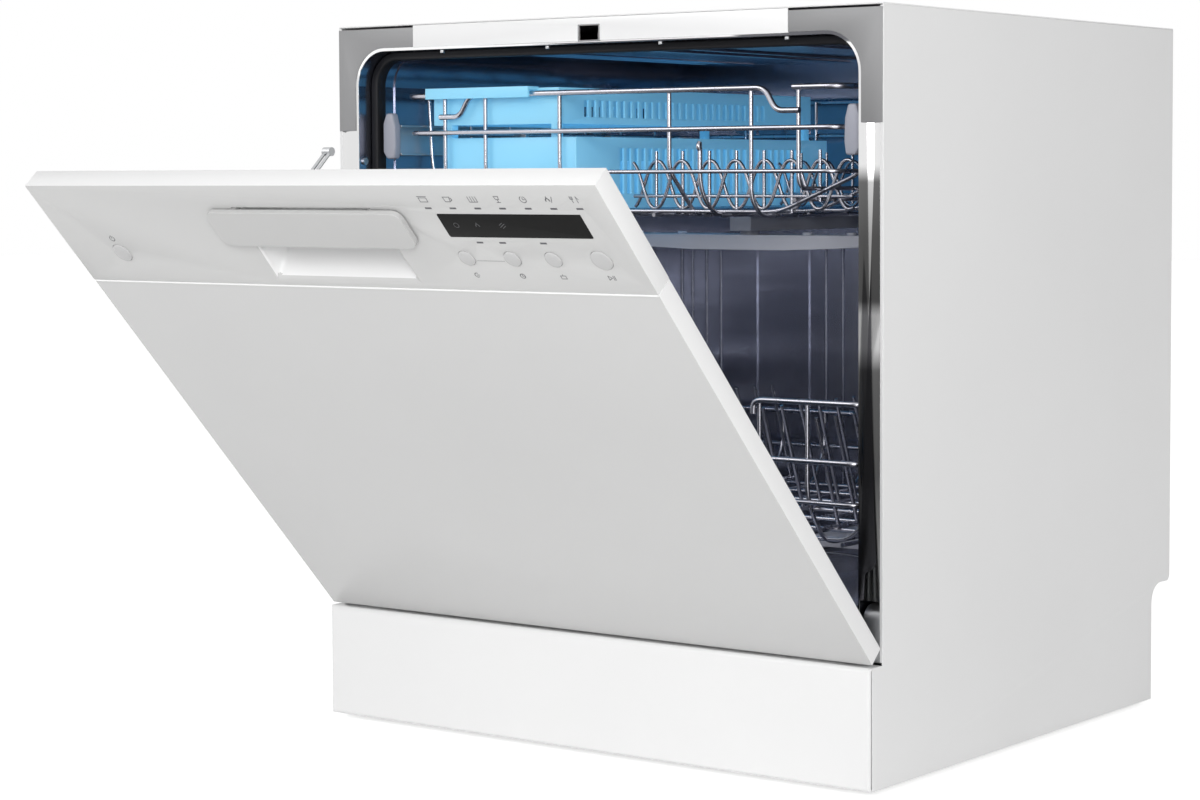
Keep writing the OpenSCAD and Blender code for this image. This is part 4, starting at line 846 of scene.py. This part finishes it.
def make_lower_basket():
    """Hoops across, fence and floor wires along, rims and the axles of its wheels."""
    z = LOWER_FLOOR + CROSS
    wires = []
    for y in HOOP_Y:
        wires.append(([(-LOWER_HALF, y, LOWER_RIM), (-LOWER_HALF + 2, y, LOWER_LOW), (-LOWER_LOW_HALF, y, z),
                       (LOWER_LOW_HALF, y, z), (LOWER_HALF - 2, y, LOWER_LOW), (LOWER_HALF, y, LOWER_RIM)],
                      WIRE, 12))
    y0 = LOWER_FRONT + CROSS
    for x, top in ((0, LOWER_BAND), (48, LOWER_BAND), (95, LOWER_BAND), (141, LOWER_RIM), (186, LOWER_RIM)):
        for side in (-1, 1) if x else (1,):
            wires.append(([(side * x, y0, top), (side * x, y0, LOWER_LOW), (side * x, y0 + 25, LOWER_FLOOR),
                           (side * x, LOWER_REAR - 22, LOWER_FLOOR), (side * x, LOWER_REAR, LOWER_LOW),
                           (side * x, LOWER_REAR, LOWER_BAND)], WIRE, 16))
    for side in (-1, 1):
        wires.append(([(side * 137, LOWER_FRONT, LOWER_RIM - 11), (side * 137.5, LOWER_FRONT, LOWER_RIM),
                       (side * (LOWER_HALF - CROSS), LOWER_FRONT, LOWER_RIM),
                       (side * (LOWER_HALF - CROSS), LOWER_REAR - 22, LOWER_RIM),
                       (side * (LOWER_HALF - CROSS), LOWER_REAR + CROSS, LOWER_BAND + 12),
                       (side * (LOWER_HALF - CROSS), LOWER_REAR + CROSS, LOWER_BAND)], RIM_WIRE, 10))
        wires.append(([(side * LOWER_EDGE_X, -178, LOWER_FLOOR), (side * LOWER_EDGE_X, 158, LOWER_FLOOR)],
                      WIRE, 0))
        for y in (-148, 128):
            wires.append(([(side * LOWER_EDGE_X, y, LOWER_FLOOR), (side * 214, y, AXLE_Z),
                           (side * 234, y, AXLE_Z)], 2.5, 4))
    wires.append(level_ring(LOWER_HALF - 4.5, LOWER_FRONT, LOWER_REAR + CROSS, LOWER_BAND, RIM_WIRE, 14))
    wires.append(level_ring(LOWER_HALF - 2 - CROSS, LOWER_FRONT, LOWER_REAR + CROSS, LOWER_LOW, WIRE, 14))
    add_wires("lower_basket_wires", wires, "lower_basket", wire_steel, ("lower_basket_frame",))


def make_lower_tines():
    """Four rows of leaning plate pins, each on its own floor wire."""
    base, tip, lean = LOWER_FLOOR + CROSS + WIRE + 1.3, 274, 33
    wires = []
    for x in (-162, -72, 72, 162):
        wires.append(([(x, -165, base), (x, 165, base)], WIRE, 0))
        for i in range(11):
            y = -118 + 28 * i
            wires.append(([(x, y, base), (x, y - lean, tip)], WIRE - 0.15, 0))
    add_wires("lower_tine_wires", wires, "lower_basket", wire_steel, ("lower_basket_tines",))


# CAMERA, LIGHT AND FLOOR

PHOTO_SIZE = (1200, 800)
FOCAL_PX = 2777.8
PRINCIPAL_PX = (682.2, 335.0)
CAMERA_AT = mm(1375.4, -1994.3, 464.7)
CAMERA_YAW, CAMERA_PITCH, CAMERA_ROLL = (math.radians(a) for a in (36.12, 3.23, -0.17))


def make_camera():
    data = bpy.data.cameras.new("camera")
    data.sensor_width = 36
    data.lens = FOCAL_PX / PHOTO_SIZE[0] * data.sensor_width
    data.shift_x = (PHOTO_SIZE[0] / 2 - PRINCIPAL_PX[0]) / PHOTO_SIZE[0]
    data.shift_y = (PRINCIPAL_PX[1] - PHOTO_SIZE[1] / 2) / PHOTO_SIZE[0]
    data.clip_start, data.clip_end = 0.05, 50
    camera = bpy.data.objects.new("camera", data)
    camera.matrix_world = (Matrix.Translation(CAMERA_AT) @ Matrix.Rotation(CAMERA_YAW, 4, "Z")
                           @ Matrix.Rotation(math.pi / 2 - CAMERA_PITCH, 4, "X")
                           @ Matrix.Rotation(CAMERA_ROLL, 4, "Z"))
    bpy.context.scene.collection.objects.link(camera)
    bpy.context.scene.camera = camera


def seen_background(nodes, links, light_strength, seen_strength=1.0):
    """The seen strength where the camera, a reflection or a refraction looks, else the light's."""
    path = nodes.new("ShaderNodeLightPath")
    either = nodes.new("ShaderNodeMath")
    either.operation = "MAXIMUM"
    links.new(path.outputs["Is Camera Ray"], either.inputs[0])
    links.new(path.outputs["Is Glossy Ray"], either.inputs[1])
    all_three = nodes.new("ShaderNodeMath")
    all_three.operation = "MAXIMUM"
    links.new(either.outputs[0], all_three.inputs[0])
    links.new(path.outputs["Is Transmission Ray"], all_three.inputs[1])
    strength = nodes.new("ShaderNodeMapRange")
    strength.inputs["To Min"].default_value = light_strength
    strength.inputs["To Max"].default_value = seen_strength
    links.new(all_three.outputs[0], strength.inputs["Value"])
    return strength.outputs["Result"]


def make_world(light_strength):
    world = bpy.data.worlds.new("studio")
    world.use_nodes = True
    nodes, links = world.node_tree.nodes, world.node_tree.links
    background = nodes["Background"]
    background.inputs["Color"].default_value = (1, 1, 1, 1)
    links.new(seen_background(nodes, links, light_strength), background.inputs["Strength"])
    bpy.context.scene.world = world


def make_lamp(name, place, target, size, power):
    data = bpy.data.lights.new(name, "AREA")
    data.shape = "RECTANGLE"
    data.size, data.size_y = size
    data.energy = power
    lamp = bpy.data.objects.new(name, data)
    lamp.location = place
    lamp.rotation_euler = (Vector(target) - Vector(place)).to_track_quat("-Z", "Y").to_euler()
    bpy.context.scene.collection.objects.link(lamp)


def make_floor():
    bm = bmesh.new()
    bmesh.ops.create_grid(bm, x_segments=2, y_segments=2, size=12)
    mesh = bpy.data.meshes.new("floor")
    bm.to_mesh(mesh)
    bm.free()
    material = bpy.data.materials.new("floor_pale")
    material.use_nodes = True
    nodes, links = material.node_tree.nodes, material.node_tree.links
    shader = nodes["Principled BSDF"]
    shader.inputs["Base Color"].default_value = (0.9, 0.9, 0.9, 1)
    shader.inputs["Roughness"].default_value = 0.8
    shader.inputs["Emission Color"].default_value = (1, 1, 1, 1)
    links.new(seen_background(nodes, links, 0.0, 0.62), shader.inputs["Emission Strength"])
    mesh.materials.append(material)
    floor = bpy.data.objects.new("floor", mesh)
    floor.location = (0, 0, -0.0005)
    bpy.context.scene.collection.objects.link(floor)


def make_stage():
    make_camera()
    make_world(0.42)
    make_lamp("left_softbox", (-1.8, -3.4, 2.3), (0, -0.2, 0.3), (2.2, 1.6), 38)
    make_lamp("right_softbox", (2.3, -3.6, 1.2), (0, 0, 0.42), (1.3, 1.3), 76)
    make_lamp("side_softbox", (3.2, -0.6, 1.8), (0.2, 0, 0.3), (1.8, 1.8), 9)
    make_floor()


make_stage()
dress_plain_solids()
make_cabinet()
make_inside()
make_door()
make_upper_basket()
make_upper_waves()
make_lower_basket()
make_lower_tines()

bpy.context.scene.view_settings.view_transform = "Standard"
